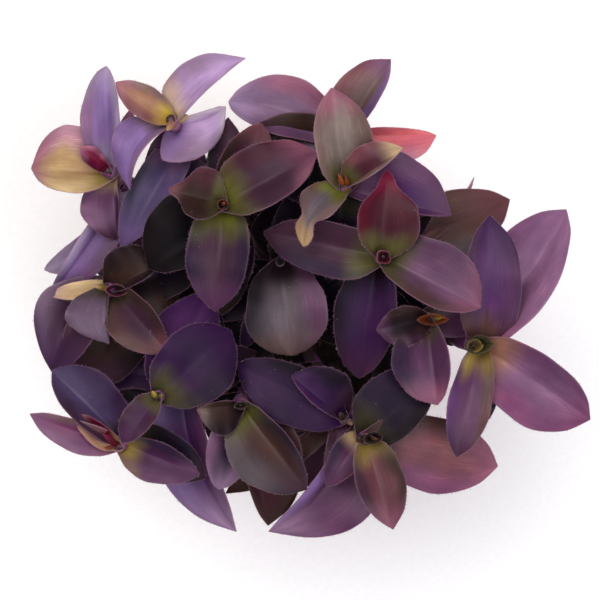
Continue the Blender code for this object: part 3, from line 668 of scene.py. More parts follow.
def growLeaves(paths):
    solids = []
    for name in ("pot", "soil"):
        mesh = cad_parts[name].data
        solids.append((-1, BVHTree.FromPolygons([v.co for v in mesh.vertices],
                                                [list(face.vertices) for face in mesh.polygons])))
    solids += [(owner, stemTree(path)) for owner, path in enumerate(paths)]
    placed, grown = [], [[] for _ in stems]
    for layer in (0, 1, 2):
        for owner, (*_, rows) in enumerate(stems):
            for row in rows:
                if row[0] != layer:
                    continue
                base = stemAt(paths[owner], row[1])
                leaf = {"base": base, "tip": Vector((row[2], row[3], base.z + row[4])),
                        "arch": row[5], "left": row[6], "right": row[7], "bow": row[8]}
                plain = layer == 2 or max(row[6], row[7]) < plant["smallHalf"]
                grid = plant["plainGrid"] if plain else plant["fullGrid"]
                leaf = bendClear(leaf, grid, owner, placed, solids)
                placed.append((owner, *skinTrees(leaf, grid, plant["bladeThickness"] / 2)))
                drawn = row[10] if len(row) > 10 else {}
                grown[owner].append(dict(leaf, drop=row[1], hues=row[9], drawn=drawn))
    draw = random.Random(plant["olderSeed"])
    for level, drop in enumerate(plant["olderDrops"]):
        for owner, path in enumerate(paths):
            leaf = olderLeaf(owner, level, drop, path, draw, placed, solids)
            if leaf:
                skins = skinTrees(leaf, plant["plainGrid"], plant["bladeThickness"] / 2)
                placed.append((owner, *skins))
                # older leaves get dark hues and a lower paleness, as painted shade deep in the
                # mound
                usual = (olderShadedHues[level], {"pale": plant["olderShadeFactor"]})
                names, drawn = olderTouches.get((stems[owner][0], drop), usual)
                grown[owner].append(dict(leaf, drop=drop, hues=names, drawn=drawn))
    return grown


paths = [stemPath(foot, crown, plant["stemPoints"]) for _, foot, crown, _ in stems]
grown = growLeaves(paths)
print("leaves placed:", sum(len(leaves) for leaves in grown))


# A pile gathers points and faces; everything that grows is lofted into one from closed rings.
# Every point has a tint, its place on the blade in mm for the patterns (each blade lies in its own
# layer of them), its distance from the edge, and how much it belongs to the underside
def newPile():
    return {"verts": [], "faces": [], "slots": [], "count": 0,
            "tint": [], "blade": [], "edge": [], "under": []}


def addPoints(pile, points, tint=0.5, blade=0.0, edge=0.0, under=0.0):
    points = np.asarray(points, float).reshape(-1, 3)
    count = len(points)
    pile["verts"].append(points)
    pile["tint"].append(np.broadcast_to(np.asarray(tint, float), (count, 3)))
    pile["blade"].append(np.broadcast_to(np.asarray(blade, float), (count, 3)))
    pile["edge"].append(np.broadcast_to(np.asarray(edge, float), (count,)))
    pile["under"].append(np.broadcast_to(np.asarray(under, float), (count,)))
    first = pile["count"]
    pile["count"] += count
    return first


def addLoft(pile, rings, slot, tint=0.5, blade=0.0, edge=0.0, under=0.0):
    # rings: rows of closed rings, from the foot up, capped at both ends
    rows, around = rings.shape[:2]
    flat = rows * around
    first = addPoints(pile, rings, np.broadcast_to(tint, rings.shape).reshape(flat, 3),
                      np.broadcast_to(blade, rings.shape).reshape(flat, 3),
                      np.broadcast_to(edge, (rows, around)).reshape(flat),
                      np.broadcast_to(under, (rows, around)).reshape(flat))
    index = first + np.arange(flat).reshape(rows, around)
    beside = np.roll(index, -1, axis=1)
    quads = np.stack([index[:-1], beside[:-1], beside[1:], index[1:]], axis=-1).reshape(-1, 4)
    pile["faces"].extend(quads.tolist())
    pile["slots"].extend([slot] * len(quads))
    for ring in (index[0][::-1], index[-1]):
        pile["faces"].append(ring.tolist())
        pile["slots"].append(slot)


def addHairs(pile, roots, ways, lengths, radius, tint, slot):
    # each hair is a thin three-sided spike
    ways = ways / np.linalg.norm(ways, axis=1, keepdims=True)
    helper = np.where(np.abs(ways[:, 2:3]) < 0.8, [[0.0, 0.0, 1.0]], [[1.0, 0.0, 0.0]])
    one = np.cross(ways, helper)
    one /= np.linalg.norm(one, axis=1, keepdims=True)
    two = np.cross(ways, one)
    corners = [roots + radius * (math.cos(a) * one + math.sin(a) * two)
               for a in (0.0, fullTurn / 3, 2 * fullTurn / 3)]
    points = np.stack([*corners, roots + ways * lengths[:, None]], axis=1)
    tints = np.repeat(np.broadcast_to(tint, (len(roots), 3)), 4, axis=0)
    first = addPoints(pile, points, tints)
    starts = first + 4 * np.arange(len(roots))
    for a, b in ((0, 1), (1, 2), (2, 0)):
        faces = np.stack([starts + a, starts + b, starts + 3], axis=1)
        pile["faces"].extend(faces.tolist())
        pile["slots"].extend([slot] * len(faces))


def pileObject(pile, name, materials):
    mesh = bpy.data.meshes.new(name)
    mesh.from_pydata((np.concatenate(pile["verts"]) * mm).tolist(), [], pile["faces"])
    for material in materials:
        mesh.materials.append(material)
    mesh.polygons.foreach_set("material_index", pile["slots"])
    mesh.shade_smooth()
    tints = np.concatenate(pile["tint"])
    tints = np.concatenate([tints, np.ones((len(tints), 1))], axis=1)
    mesh.attributes.new("tint", "FLOAT_COLOR", "POINT").data.foreach_set("color", tints.ravel())
    mesh.attributes.new("blade", "FLOAT_VECTOR", "POINT").data.foreach_set(
        "vector", np.concatenate(pile["blade"]).ravel())
    for key in ("edge", "under"):
        values = np.concatenate(pile[key])
        mesh.attributes.new(key, "FLOAT", "POINT").data.foreach_set("value", values)
    mesh.validate()
    return addObject(name, mesh)


def smoothstep(low, high, value):
    share = np.clip((value - low) / (high - low), 0, 1)
    return share * share * (3 - 2 * share)


def mixed(first, second, share):
    return first + (second - first) * share[..., None]


bladeShape = {
    "along": 40, "across": 22,          # mesh steps of a leaf on top of the mound
    "olderAlong": 26, "olderAcross": 14,
    "crowding": 0.65,                   # how far the rows crowd to both ends
    "halfThickness": 0.5, "rimThickness": 0.2, "rimRound": 0.2,     # mm
    "pointThickness": 0.45, "pointShare": 0.12,     # share left at the tip, share that thins
    "foldRadius": 2.0,                  # mm, the midrib is a soft fold
    "claspShare": 0.15,                 # first share of the length that opens from the sheath
    "sheathDepths": (8.0, 6.0, 3.5, 1.2),       # mm below the base
    "sheathTurn": 0.97, "sheathLip": 1.2, "sheathPinch": 0.12,
    "sheathGap": 0.55, "sheathStep": 0.45,      # mm, room round the stem and round inner sheaths
    "sheathReach": 9.0, "stemSlope": 4.0,       # mm of stem that inner sheaths and the slope take
    "groove": 0.16, "keel": 0.4, "creaseWidth": 0.7,    # mm, crease above and rib below the midrib
    "wave": 0.7,                        # mm, ripple of the margin
    "creaseFrom": (0.03, 0.15), "waveFrom": (0.1, 0.3), "fade": 0.2,    # shares of the length
    "uneven": 0.03,                     # share by which the outline swells and narrows
    # its waves: how many along the leaf, steps from leaf to leaf and wing to wing, share
    "swells": ((1.35, 0.31, 0.4, 1.0), (3.1, 0.77, -0.2, 0.3)),
    "hairSpacing": 0.9, "hairLength": (0.7, 1.5), "hairRadius": 0.06,   # mm
    "baseHairs": (0.8, 6.0),            # how much longer at the base, and over how many mm
    "hairRise": (-0.1, 0.7), "hairSpread": 0.22, "hairTint": 0.25,
    # where the hues of a leaf meet, as shares of its length and half width, and how far they go
    "wander": (3.0, 1.6), "wanderAlong": 0.10, "wanderAcross": 0.25,
    "flank": (0.2, 0.85), "flankAmount": 0.9,
    "tip": (0.6, 1.0), "tipAmount": 0.85,
    "base": (0.06, 0.36), "baseFlank": (0.35, 1.0), "baseLoss": 0.45,
}


def bladeTint(names, t, side, seed):
    # the left and right edge hues are partly painted light and shade: lighter on a wing that faces
    # the light, darker on one turned away
    look = bladeShape
    base, middle, tip, left, right = (hues[name] for name in names.split())
    long, wide = look["wander"]
    wander = np.array([[noise.noise(Vector((a * long, b * wide, seed))) for b in side[0]]
                       for a in t[:, 0]])
    t = t + look["wanderAlong"] * wander
    colour = np.broadcast_to(middle, (*t.shape, 3))
    lateral = np.abs(side) + look["wanderAcross"] * wander
    flank = np.where(side[..., None] > 0, left, right)
    colour = mixed(colour, flank, look["flankAmount"] * smoothstep(*look["flank"], lateral))
    colour = mixed(colour, tip, look["tipAmount"] * smoothstep(*look["tip"], t))
    bottom = 1 - smoothstep(*look["base"], t)
    bottom = bottom * (1 - look["baseLoss"] * smoothstep(*look["baseFlank"], lateral))
    return mixed(colour, base, bottom)


def bladeRows(leaf, t, side, radius, tangent, depth, seed):
    # the solid's trough, with a soft midrib, a drawn-out point and a base that clasps the stem
    shape = bladeShape
    own = leaf["drawn"]
    leaf = dict(leaf, **{key: own[key] for key in ("left", "right", "bow") if key in own})
    base, tip = np.array(leaf["base"]), np.array(leaf["tip"])
    tip = base + (tip - base) * own.get("reach", 1.0) + (0.0, 0.0, own.get("lift", 0.0))
    form = own.get("form", "pointed")
    belly, point = leafForms[form]
    run = (tip - base) * (1, 1, 0)
    length = np.linalg.norm(run)
    run = run / length
    across = np.array((-run[1], run[0], 0.0))
    rise = np.array((0.0, 0.0, 1.0))
    hump = (4 * t * (1 - t))[..., None]
    line = base + (tip - base) * t[..., None] + (across * leaf["bow"] + rise * leaf["arch"]) * hump
    widest = max(leaf["left"], leaf["right"])
    half = np.where(side > 0, leaf["left"], leaf["right"])
    steep = np.minimum(plant["steepestFold"],
                       np.sqrt((plant["trueWidthGain"] * widest / half) ** 2 - 1))
    steep = steep * (plant["foldAtBase"] - plant["foldFall"] * t) * own.get("fold", 1.0)
    phase = plant["basePhase"]
    share = np.sin(math.pi * (phase + (1 - phase) * t ** belly))
    share = np.maximum(0, share) ** plant["widthPower"]
    last = np.clip((1 - t) / point, 0, 1)
    share = share * np.sqrt(np.maximum(1e-4, 1 - (1 - last) ** 2))
    wing = np.sign(side)
    swell = sum(much * np.sin(fullTurn * (waves * t + step * seed + shift * wing))
                for waves, step, shift, much in shape["swells"])
    share = share * (1 + shape["uneven"] * swell)
    if form == "waisted":                       # narrow at two thirds of its length
        share = share * (1.15 - 0.6 * np.exp(-((t - 0.66) / 0.13) ** 2))
    if form == "beaked":                        # broad, then drawn in to a beak
        share = share * (1.04 - 0.55 * smoothstep(0.55, 0.84, t))
    reach = np.abs(side) * half * share
    soft = shape["foldRadius"]
    lift = (np.sqrt(reach ** 2 + soft ** 2) - soft) * steep
    lift = lift * (1 + plant["curl"] - plant["curl"] * np.abs(side))
    ripple = np.sin(fullTurn * (t * (2.2 + seed % 1.0) + 0.37 * seed + 0.25 * wing))
    ripple = ripple * smoothstep(*shape["waveFrom"], t) * smoothstep(0.0, shape["fade"], 1 - t)
    lift = lift + shape["wave"] * side ** 2 * ripple
    trough = line + across * (wing * reach)[..., None] + rise * lift[..., None]
    trough = trough - run * (own.get("swept", 0.0) * (side < 0) * side ** 2 * (1 - t))[..., None]
    # the sheath is a ring round the stem, and the blade opens from it
    angle = side * math.pi * shape["sheathTurn"]
    ring = base + radius * (np.cos(angle)[..., None] * run + np.sin(angle)[..., None] * across)
    ring = ring + rise * (shape["sheathLip"] * side ** 2)[..., None]
    opened = smoothstep(0.0, shape["claspShare"], t)[..., None]
    points = ring * (1 - opened) + trough * opened
    inward = (base - ring) * (1, 1, 0)
    pinch = np.clip(depth / shape["sheathDepths"][0], 0, 1)[..., None]
    points = points - tangent * depth[..., None] + inward * shape["sheathPinch"] * pinch
    return points, length, reach, half * share - reach


def addBlade(pile, leaf, radius, tangent, seed, older):
    shape = bladeShape
    along = shape["olderAlong"] if older else shape["along"]
    across = shape["olderAcross"] if older else shape["across"]
    u = np.linspace(0, 1, along + 1)
    blade = u + shape["crowding"] * (0.5 - 0.5 * np.cos(math.pi * u) - u)
    depths = np.array([*shape["sheathDepths"], *np.zeros(along + 1)])
    t = np.array([*np.zeros(len(shape["sheathDepths"])), *blade])
    side = np.linspace(1, -1, across + 1)
    t, side = np.meshgrid(t, side, indexing="ij")
    depth = np.broadcast_to(depths[:, None], t.shape)
    points, length, reach, edge = bladeRows(leaf, t, side, radius, tangent, depth, seed)
    rowWay = np.gradient(points, axis=0)
    sideWay = np.gradient(points, axis=1)
    facing = np.cross(sideWay, rowWay)
    facing /= np.maximum(np.linalg.norm(facing, axis=2, keepdims=True), 1e-9)
    thinning = shape["halfThickness"] - shape["rimThickness"]
    thick = shape["halfThickness"] - thinning * np.abs(side) ** 3
    pointed = shape["pointThickness"]
    thick = thick * (pointed + (1 - pointed) * smoothstep(0.0, shape["pointShare"], 1 - t))
    crease = np.exp(-(reach / shape["creaseWidth"]) ** 2)
    crease = crease * smoothstep(*shape["creaseFrom"], t) * smoothstep(0.0, shape["fade"], 1 - t)
    upper = points + facing * (thick - shape["groove"] * crease)[..., None]
    lower = points - facing * (thick + shape["keel"] * crease)[..., None]
    outward = sideWay / np.maximum(np.linalg.norm(sideWay, axis=2, keepdims=True), 1e-9)
    leftRim = points[:, :1] - outward[:, :1] * shape["rimRound"]
    rightRim = points[:, -1:] + outward[:, -1:] * shape["rimRound"]
    rings = np.concatenate([upper, rightRim, lower[:, ::-1], leftRim], axis=1)
    # the leaf's hues, painted light and shade included, times its paleness, which paints light and
    # shade too
    tint = bladeTint(leaf["hues"], t, side, seed) * leaf["drawn"].get("pale", 1.0)
    tints = np.concatenate([tint, tint[:, -1:], tint[:, ::-1], tint[:, :1]], axis=1)
    widest = max(leaf["left"], leaf["right"])
    place = np.stack([t * length - depth, side * widest, np.full(t.shape, seed * 7.3)], axis=-1)
    places = np.concatenate([place, place[:, -1:], place[:, ::-1], place[:, :1]], axis=1)
    edge = np.where(t < 0.04, noRim, edge)      # a sheath has none
    flat, column = np.zeros(t.shape), np.zeros((len(t), 1))
    edges = np.concatenate([edge, column, edge[:, ::-1], column], axis=1)
    unders = np.concatenate([flat, column + 0.5, flat + 1, column + 0.5], axis=1)
    addLoft(pile, rings, leafSlot, tints, places, edges, unders)
    addMarginHairs(pile, leftRim[:, 0], -outward[:, 0], facing[:, 0], tint[:, 0], seed)
    addMarginHairs(pile, rightRim[:, 0], outward[:, -1], facing[:, -1], tint[:, -1], seed + 0.5)


def addMarginHairs(pile, line, outward, facing, tint, seed):
    shape = bladeShape
    draw = np.random.default_rng(int(seed * 1000) + 7)
    start = len(shape["sheathDepths"])
    line, outward, facing, tint = line[start:], outward[start:], facing[start:], tint[start:]
    steps = np.linalg.norm(np.diff(line, axis=0), axis=1)
    run = np.concatenate([[0.0], np.cumsum(steps)])
    count = max(4, int(run[-1] / shape["hairSpacing"]))
    spots = np.sort(draw.uniform(0, run[-1], count))

    def along(values):
        return np.stack([np.interp(spots, run, values[:, axis]) for axis in range(3)], axis=1)

    more, over = shape["baseHairs"]
    lengths = draw.uniform(*shape["hairLength"], count) * (1 + more * np.exp(-spots / over))
    ways = along(outward) + along(facing) * draw.uniform(*shape["hairRise"], (count, 1))
    ways = ways + draw.normal(0, shape["hairSpread"], (count, 3))
    tints = along(tint) + shape["hairTint"] * (np.array(linear(hairFinish["colour"])) - along(tint))
    addHairs(pile, along(line), ways, lengths, shape["hairRadius"], tints, hairSlot)


stemShape = {
    "steps": 44, "footSteps": 4, "sides": 18,
    "ringSwell": 0.55, "ringWidth": 1.6, "ringDrop": 7.0,   # mm, the swollen joint under each leaf
    "thickest": 4.1,                    # mm
    "ribs": 0.05, "ribCount": 9,        # mm, faint ridges down the stem
    "stripeSpread": 3.0,                # mm of pattern for each radian round the stem
    "footHue": "umber", "topHues": ("moss", "plum"), "hueShares": (0.1, 0.8),
}


def stemRadius(share):
    return plant["footRadius"] + (plant["tipRadius"] - plant["footRadius"]) * share


def addStem(pile, foot, crown, leaves, seed):
    shape = stemShape
    centres = np.array([tuple(p) for p in stemPath(foot, crown, shape["steps"])])
    buried = np.linspace(centres[0], centres[1], shape["footSteps"], endpoint=False)
    centres = np.concatenate([buried, centres[1:]])
    count = len(centres)
    way = np.gradient(centres, axis=0)
    way /= np.linalg.norm(way, axis=1, keepdims=True)
    one = np.cross(way, (0.3, 0.9, 0.1))        # any direction that no stem takes
    one /= np.linalg.norm(one, axis=1, keepdims=True)
    two = np.cross(way, one)
    share = np.linspace(0, 1, count)
    radius = stemRadius(share)
    for leaf in leaves:
        joint = crown[2] - leaf["drop"] - shape["ringDrop"]
        away = (centres[:, 2] - joint) / shape["ringWidth"]
        radius = radius + shape["ringSwell"] * np.exp(-away ** 2)
    radius = np.minimum(radius, shape["thickest"])
    angle = np.linspace(0, fullTurn, shape["sides"], endpoint=False)
    bulge = radius[:, None] + shape["ribs"] * np.cos(angle * shape["ribCount"])[None]
    rings = centres[:, None] + bulge[..., None] * (
        np.cos(angle)[None, :, None] * one[:, None] + np.sin(angle)[None, :, None] * two[:, None])
    lower, upper = hues[shape["footHue"]], sum(hues[name] for name in shape["topHues"]) / 2
    tint = lower + (upper - lower) * smoothstep(*shape["hueShares"], share)[:, None]
    tint = np.broadcast_to(tint[:, None], rings.shape)
    height = np.cumsum(np.linalg.norm(np.gradient(centres, axis=0), axis=1))
    around = angle[None] * shape["stripeSpread"]
    place = np.stack(np.broadcast_arrays(height[:, None], around, seed * 5.1), axis=-1)
    addLoft(pile, rings, stemSlot, tint, place, noRim)


# Crowns: the youngest leaves, still rolled, in the middle of each rosette, each with its offset.
# spear: a rolled leaf with its height, radius, lean and hues; cup: the mouth of a sheath with its
# half length and width, turn in degrees, height, squareness, and hues inside, at the rim, outside
crowns = {
    "leafy_stem_01": [("spear", (-1, 1), 8, 2.2, (-7, 5), "wine crimson rose")],
    "leafy_stem_02": [("spear", (1, -1.5), 5, 2.4, (-3, -4), "rust tan straw"),
                      ("spear", (4, 0), 6, 2.2, (5, 2), "tan cream cream")],
    "leafy_stem_03": [("cup", (0.5, -0.5), 2.7, 2.5, 0, 6, 2.2, "umber rust umber"),
                      ("spear", (0.8, -0.5), 7, 1.3, (0.6, 1), "umber rust rust")],
    "leafy_stem_04": [("spear", (-1.0, 0), 12, 1.4, (-2.5, 5.5), "olive rust rust"),
                      ("spear", (1.4, 0), 10, 1.2, (-1.5, 5), "olive rust clay"),
                      ("spear", (1.6, -3), 7, 1.4, (-1, 1), "olive lime rust")],
    "leafy_stem_05": [("cup", (0.5, -0.5), 3.4, 3.2, -4, 7, 3.2, "wine rose rust")],
    "leafy_stem_06": [("spear", (0, 0), 9, 2.4, (0, 2), "moss plum rose")],
    "leafy_stem_07": [("cup", (-2, 1.0), 7.0, 4.8, 10, 9, 1.9, "moss umber olive"),
                      ("cup", (-4.0, 0.4), 4.0, 3.4, 10, 7.5, 2.0, "butter moss moss")],
    "leafy_stem_08": [("cup", (2, 0.5), 7.6, 3.1, 3, 8, 1.6, "rust cocoa umber"),
                      ("spear", (2.5, 0.6), 6.5, 1.5, (4.5, 0.6), "butter butter butter")],
    # stem 9's spear sits low in shade and is painted near black, as painted shade
    "leafy_stem_09": [("spear", (0, 0), 8, 2.0, (0, 2), "soot night soot")],
    "leafy_stem_10": [("spear", (-0.6, 0.8), 7, 1.9, (-1.5, 3.0), "umber umber cocoa"),
                      ("spear", (2.6, -0.8), 7, 1.7, (1.5, -1.5), "umber taupe tan")],
    "leafy_stem_11": [("cup", (3.2, 1.5), 4.6, 3.0, 14, 8, 2.0, "umber cocoa olive"),
                      ("spear", (-2.6, 0.5), 8, 2.2, (-1, 1), "olive umber cocoa"),
                      ("spear", (4.4, -2), 5, 1.8, (2, -4), "lime butter butter")],
    "leafy_stem_12": [("cup", (0.5, 0), 3.4, 1.9, 8, 6, 1.8, "olive moss moss")],
    "leafy_stem_13": [("spear", (-0.9, 0.6), 7, 1.7, (-1.2, 2.6), "olive butter gold"),
                      ("spear", (1.1, 0.2), 6, 1.5, (1.6, 1.0), "umber moss butter"),
                      ("spear", (-0.2, -1.4), 4, 1.5, (-0.4, -1.6), "umber olive moss")],
    "leafy_stem_14": [("spear", (-1, 1), 9, 2.6, (-6.5, 5), "rust wine crimson"),
                      ("spear", (-2, -1), 7, 1.6, (-5, 0), "butter clay rust")],
    "leafy_stem_15": [("cup", (4, -0.5), 5.6, 3.2, -3, 8, 1.7, "wine rose cocoa"),
                      ("spear", (-1, 0.6), 6.5, 1.9, (-6, 0.6), "butter butter cream")],
}
crownShape = {
    "rows": 16, "sides": 28,
    "root": 4.0,                        # mm that a spear starts below its crown
    "rollStart": 0.3, "rollPower": 0.8, # how a spear swells and narrows to its tip
    "lap": 0.24, "twist": 1.1,          # step of the free edge, radians that the roll turns
    "leanPower": 1.5, "middleFrom": (0.1, 0.5), "highFrom": (0.6, 1.0),
    "cupLap": 0.2, "cupFoot": 2.3, "cupSlant": 1.6, "highSide": 2.4,    # share, mm, mm, radians
    "cupShadeInside": 0.45, "cupShadedRimShare": 0.25,    # painted shade: share of the hue left deep inside, and of the rim hue on the low side
    "cupRim": (0.25, 1.5),              # mm from the edge on the high side, more on the low side, so the pale rim shows on the high side only, as painted light
    "hairs": 26, "hairLength": (0.4, 0.9), "hairRadius": 0.05,          # mm
    "hairRise": (2, 6), "hairSpread": 0.6,
}
# A cup's rings: rise as a share of its height, spread as a share of its mouth, share of rim hue
cupOutside = ((-0.9, 0.1, 0.0), (-0.2, 0.3, 0.0), (0.3, 0.6, 0.1), (0.65, 0.84, 0.2),
              (0.9, 0.97, 0.5), (1.0, 1.0, 1.0))
cupInside = ((0.98, 0.95, 0.8), (0.85, 0.86, 0.2), (0.6, 0.74, 0.0), (0.3, 0.58, 0.0),
             (0.05, 0.36, 0.0), (-0.1, 0.12, 0.0))


def addSpear(pile, centre, height, radius, lean, names, seed):
    shape = crownShape
    low, middle, high = (hues[name] for name in names.split())
    u = np.linspace(0, 1, shape["rows"])
    turn = np.linspace(0, 1, shape["sides"], endpoint=False)
    u, turn = np.meshgrid(u, turn, indexing="ij")
    start = shape["rollStart"]
    body = np.maximum(0.02, np.sin(math.pi * (start + (1 - start) * u)))
    body = radius * body ** shape["rollPower"]
    body = body * (0.9 + shape["lap"] * turn)       # the free edge of the roll stands off as a step
    angle = fullTurn * turn + shape["twist"] * u + seed
    drift = u ** shape["leanPower"]
    rings = np.stack([centre[0] + lean[0] * drift + body * np.cos(angle),
                      centre[1] + lean[1] * drift + body * np.sin(angle),
                      centre[2] - shape["root"] + (height + shape["root"]) * u], axis=-1)
    tint = mixed(np.broadcast_to(low, rings.shape), middle, smoothstep(*shape["middleFrom"], u))
    tint = mixed(tint, high, smoothstep(*shape["highFrom"], u))
    place = np.stack([u * height, turn * radius * 6, np.full(u.shape, seed * 3.7)], axis=-1)
    edge = np.minimum(1 - turn, turn + 0.1) * fullTurn * body
    addLoft(pile, rings, leafSlot, tint, place, edge)


def addCup(pile, centre, half, wide, turnDegrees, height, squareness, names, seed):
    # the mouth of a rolled new leaf: one edge laps over the other, one side stands higher; painted
    # shade darkens it deep inside, and its rim hue is painted stronger on the high side than on the
    # low side, as painted light
    shape = crownShape
    inside, rim, outside = (hues[name] for name in names.split())
    sides = shape["sides"] * 2
    turn = np.linspace(0, 1, sides, endpoint=False)
    angle = fullTurn * turn
    power = 2 / squareness
    x = half * np.sign(np.cos(angle)) * np.abs(np.cos(angle)) ** power
    y = wide * np.sign(np.sin(angle)) * np.abs(np.sin(angle)) ** power
    lap = 0.9 + shape["cupLap"] * turn
    high = 0.5 + 0.5 * np.cos(angle - shape["highSide"])
    turned = math.radians(turnDegrees)
    dark, dim = shape["cupShadeInside"], shape["cupShadedRimShare"]
    near, more = shape["cupRim"]
    rings, tints, edges = [], [], []
    for number, (rise, share, lit) in enumerate(cupOutside + cupInside):
        outer = number < len(cupOutside)
        foot = shape["cupFoot"] * max(0.0, 0.5 - share) * outer     # the stem that it stands on
        px = x * share * lap + foot * np.cos(angle)
        py = y * share * lap + foot * np.sin(angle)
        z = centre[2] + height * rise + shape["cupSlant"] * high * max(0.0, rise) * share
        rings.append(np.stack([
            centre[0] + px * math.cos(turned) - py * math.sin(turned),
            centre[1] + px * math.sin(turned) + py * math.cos(turned), z], axis=-1))
        # painted shade: darker deep inside; painted light: more rim hue on the high side
        body = outside if outer else inside * (dark + (1 - dark) * max(0.0, rise))
        tints.append(body + (rim - body) * (lit * (dim + (1 - dim) * high))[:, None])
        edges.append(near + more * (1 - high) if lit == 1.0 else np.full(sides, noRim))
    rings = np.array(rings)
    steps = np.arange(len(rings))[:, None] * 1.2
    place = np.stack(np.broadcast_arrays(steps, angle[None] * half, seed * 2.9), axis=-1)
    addLoft(pile, rings, leafSlot, np.array(tints), place, np.array(edges))
    draw = np.random.default_rng(int(seed * 100) + 3)
    count = shape["hairs"]
    roots = rings[len(cupOutside) - 1][draw.integers(0, sides, count)]
    ways = np.stack([roots[:, 0] - centre[0], roots[:, 1] - centre[1],
                     draw.uniform(*shape["hairRise"], count)], axis=1)
    ways = ways + draw.normal(0, shape["hairSpread"], (count, 3))
    addHairs(pile, roots, ways, draw.uniform(*shape["hairLength"], count), shape["hairRadius"],
             linear(hairFinish["colour"]), hairSlot)


leafSkin, stalkSkin, hairSkin = leafMaterial(), stalkMaterial(), hairMaterial()


def makeLeafyStem(index):
    # one piece: stem, sheathed blades and crown
    node, foot, crown, rows = stems[index]
    leaves = grown[index]
    shape = bladeShape
    pile = newPile()
    addStem(pile, foot, crown, leaves, index + 0.5)
    path = paths[index]
    for number, leaf in enumerate(leaves):
        drop = leaf["drop"]
        inner = sum(1 for other in leaves if drop - shape["sheathReach"] < other["drop"] < drop)
        share = (leaf["base"].z - path[0].z) / (path[-1].z - path[0].z)
        radius = stemRadius(share) + shape["sheathGap"] + shape["sheathStep"] * min(3, inner)
        slope = (stemAt(path, drop) - stemAt(path, drop + shape["stemSlope"])).normalized()
        older = number >= len(rows)
        addBlade(pile, leaf, radius, np.array(slope), index * 1.7 + number * 0.61 + 1, older)
    for number, (kind, offset, *form) in enumerate(crowns[node]):
        centre = (crown[0] + offset[0], crown[1] + offset[1], crown[2])
        add = addSpear if kind == "spear" else addCup
        add(pile, centre, *form, index + number * 0.37)
    made = pileObject(pile, "leafyStem%02d" % (index + 1), (leafSkin, stalkSkin, hairSkin))
    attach(made, "root")
    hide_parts(node)


for index in range(len(stems)):
    makeLeafyStem(index)
print("leafy stems made:", len(stems))


potShape = {
    "height": 120.0, "topRadius": 70.0, "baseRadius": 47.0, "wall": 5.0, "floor": 7.0,      # mm
    "bandHeight": 24.0, "bandStep": 4.0, "bandTaper": 1.0,      # mm, the thicker band at the rim
    "soft": 1.2,                        # mm, rounding of the corners
    "arcSteps": 5, "wallStep": 3.0, "steps": 128, "sharpAngle": 40,     # mesh steps, mm, degrees
    "drainHoles": 5, "drainRadius": 4.5, "drainSides": 28,
    "drainRing": 24.0,                  # mm from the middle of the pot
    "plugMiddle": 3.0, "plugLength": 20.0,      # mm, what cuts a drain hole
    "turning": 0.12,                    # mm, marks of the turning mould on the wall
    "turnWaves": ((1.7, 1, 1.0), (0.61, 0, 0.6)),       # radians to the mm, times round, share
    "plainFoot": 8.0, "plainRim": 4.0,  # mm that have none
    "body": ((0.3, "#94492c"), (0.55, "#b1613f"), (0.75, "#c47752")),
    "cloud": 45.0, "grit": 1.1, "damp": 20.0,   # mm, clouds of the body, grains, patches of bloom
    "gritColour": "#7b3a22", "gritAmount": 0.45,
    "bloomColour": "#d8c0ac", "bloomHeight": 70.0, "bloomAmount": (0.75, 0.12),     # low and high
    "relief": 0.35, "reliefHeight": 0.4,        # strength, mm
}


def wallRadius(height):
    top = potShape["topRadius"] - potShape["bandStep"]
    return potShape["baseRadius"] + (top - potShape["baseRadius"]) * height / potShape["height"]


def roundedProfile(corners):
    # corners of (radius, height, rounding); each is turned into a small arc
    line = []
    for index, (x, z, soft) in enumerate(corners):
        here = Vector((x, z))
        if soft == 0 or index in (0, len(corners) - 1):
            line.append(here)
            continue
        before, after = (Vector(corners[index + step][:2]) for step in (-1, 1))
        start = here + (before - here).normalized() * soft
        end = here + (after - here).normalized() * soft
        for step in range(potShape["arcSteps"] + 1):
            t = step / potShape["arcSteps"]
            line.append((1 - t) ** 2 * start + 2 * t * (1 - t) * here + t * t * end)
    dense = []
    for low, high in zip(line, line[1:]):
        steps = max(1, int((high - low).length / potShape["wallStep"]))
        dense += [low.lerp(high, step / steps) for step in range(steps)]
    return dense + [line[-1]]


def terracottaMaterial():
    # red clay pressed in a mould and fired without glaze: matt, grainy, with a lime bloom low down
    look = potShape
    material, tree, shader = newMaterial("Terracotta, moulded and fired, unglazed")
    place = addNode(tree, "TexCoord").outputs["Object"]
    height = addNode(tree, "SeparateXYZ", {}, {0: place}).outputs["Z"]
    pattern = {}
    for name, detail, roughness in (("grit", 3.0, 0.5), ("cloud", 4.0, 0.5), ("damp", 6.0, 0.65)):
        settings = {"Scale": 1 / (look[name] * mm), "Detail": detail, "Roughness": roughness}
        pattern[name] = addNode(tree, "TexNoise", settings, {"Vector": place})
    body = addNode(tree, "ValToRGB", {"stops": look["body"]}, {"Fac": pattern["cloud"]})
    speck = addNode(tree, "MapRange", {1: 0.62, 2: 0.72, 4: look["gritAmount"]},
                    {0: pattern["grit"]})
    body = addNode(tree, "Mix", {"data_type": "RGBA", 7: rgba(look["gritColour"])},
                   {0: speck, 6: body})
    most, least = look["bloomAmount"]
    low = addNode(tree, "MapRange", {2: look["bloomHeight"] * mm, 3: most, 4: least}, {0: height})
    bloom = addNode(tree, "MapRange", {1: 0.48, 2: 0.68}, {0: pattern["damp"]})
    amount = addNode(tree, "Math", {"operation": "MULTIPLY"}, {0: low, 1: bloom})
    body = addNode(tree, "Mix", {"data_type": "RGBA", 7: rgba(look["bloomColour"])},
                   {0: amount, 6: body})
    rough = addNode(tree, "MapRange", {3: 0.78, 4: 0.95}, {0: pattern["grit"]})
    settings = {"Strength": look["relief"], "Distance": look["reliefHeight"] * mm}
    bump = addNode(tree, "Bump", settings, {"Height": pattern["grit"]})
    setNode(tree, shader, {"IOR": 1.5}, {"Base Color": body, "Roughness": rough, "Normal": bump})
    return material


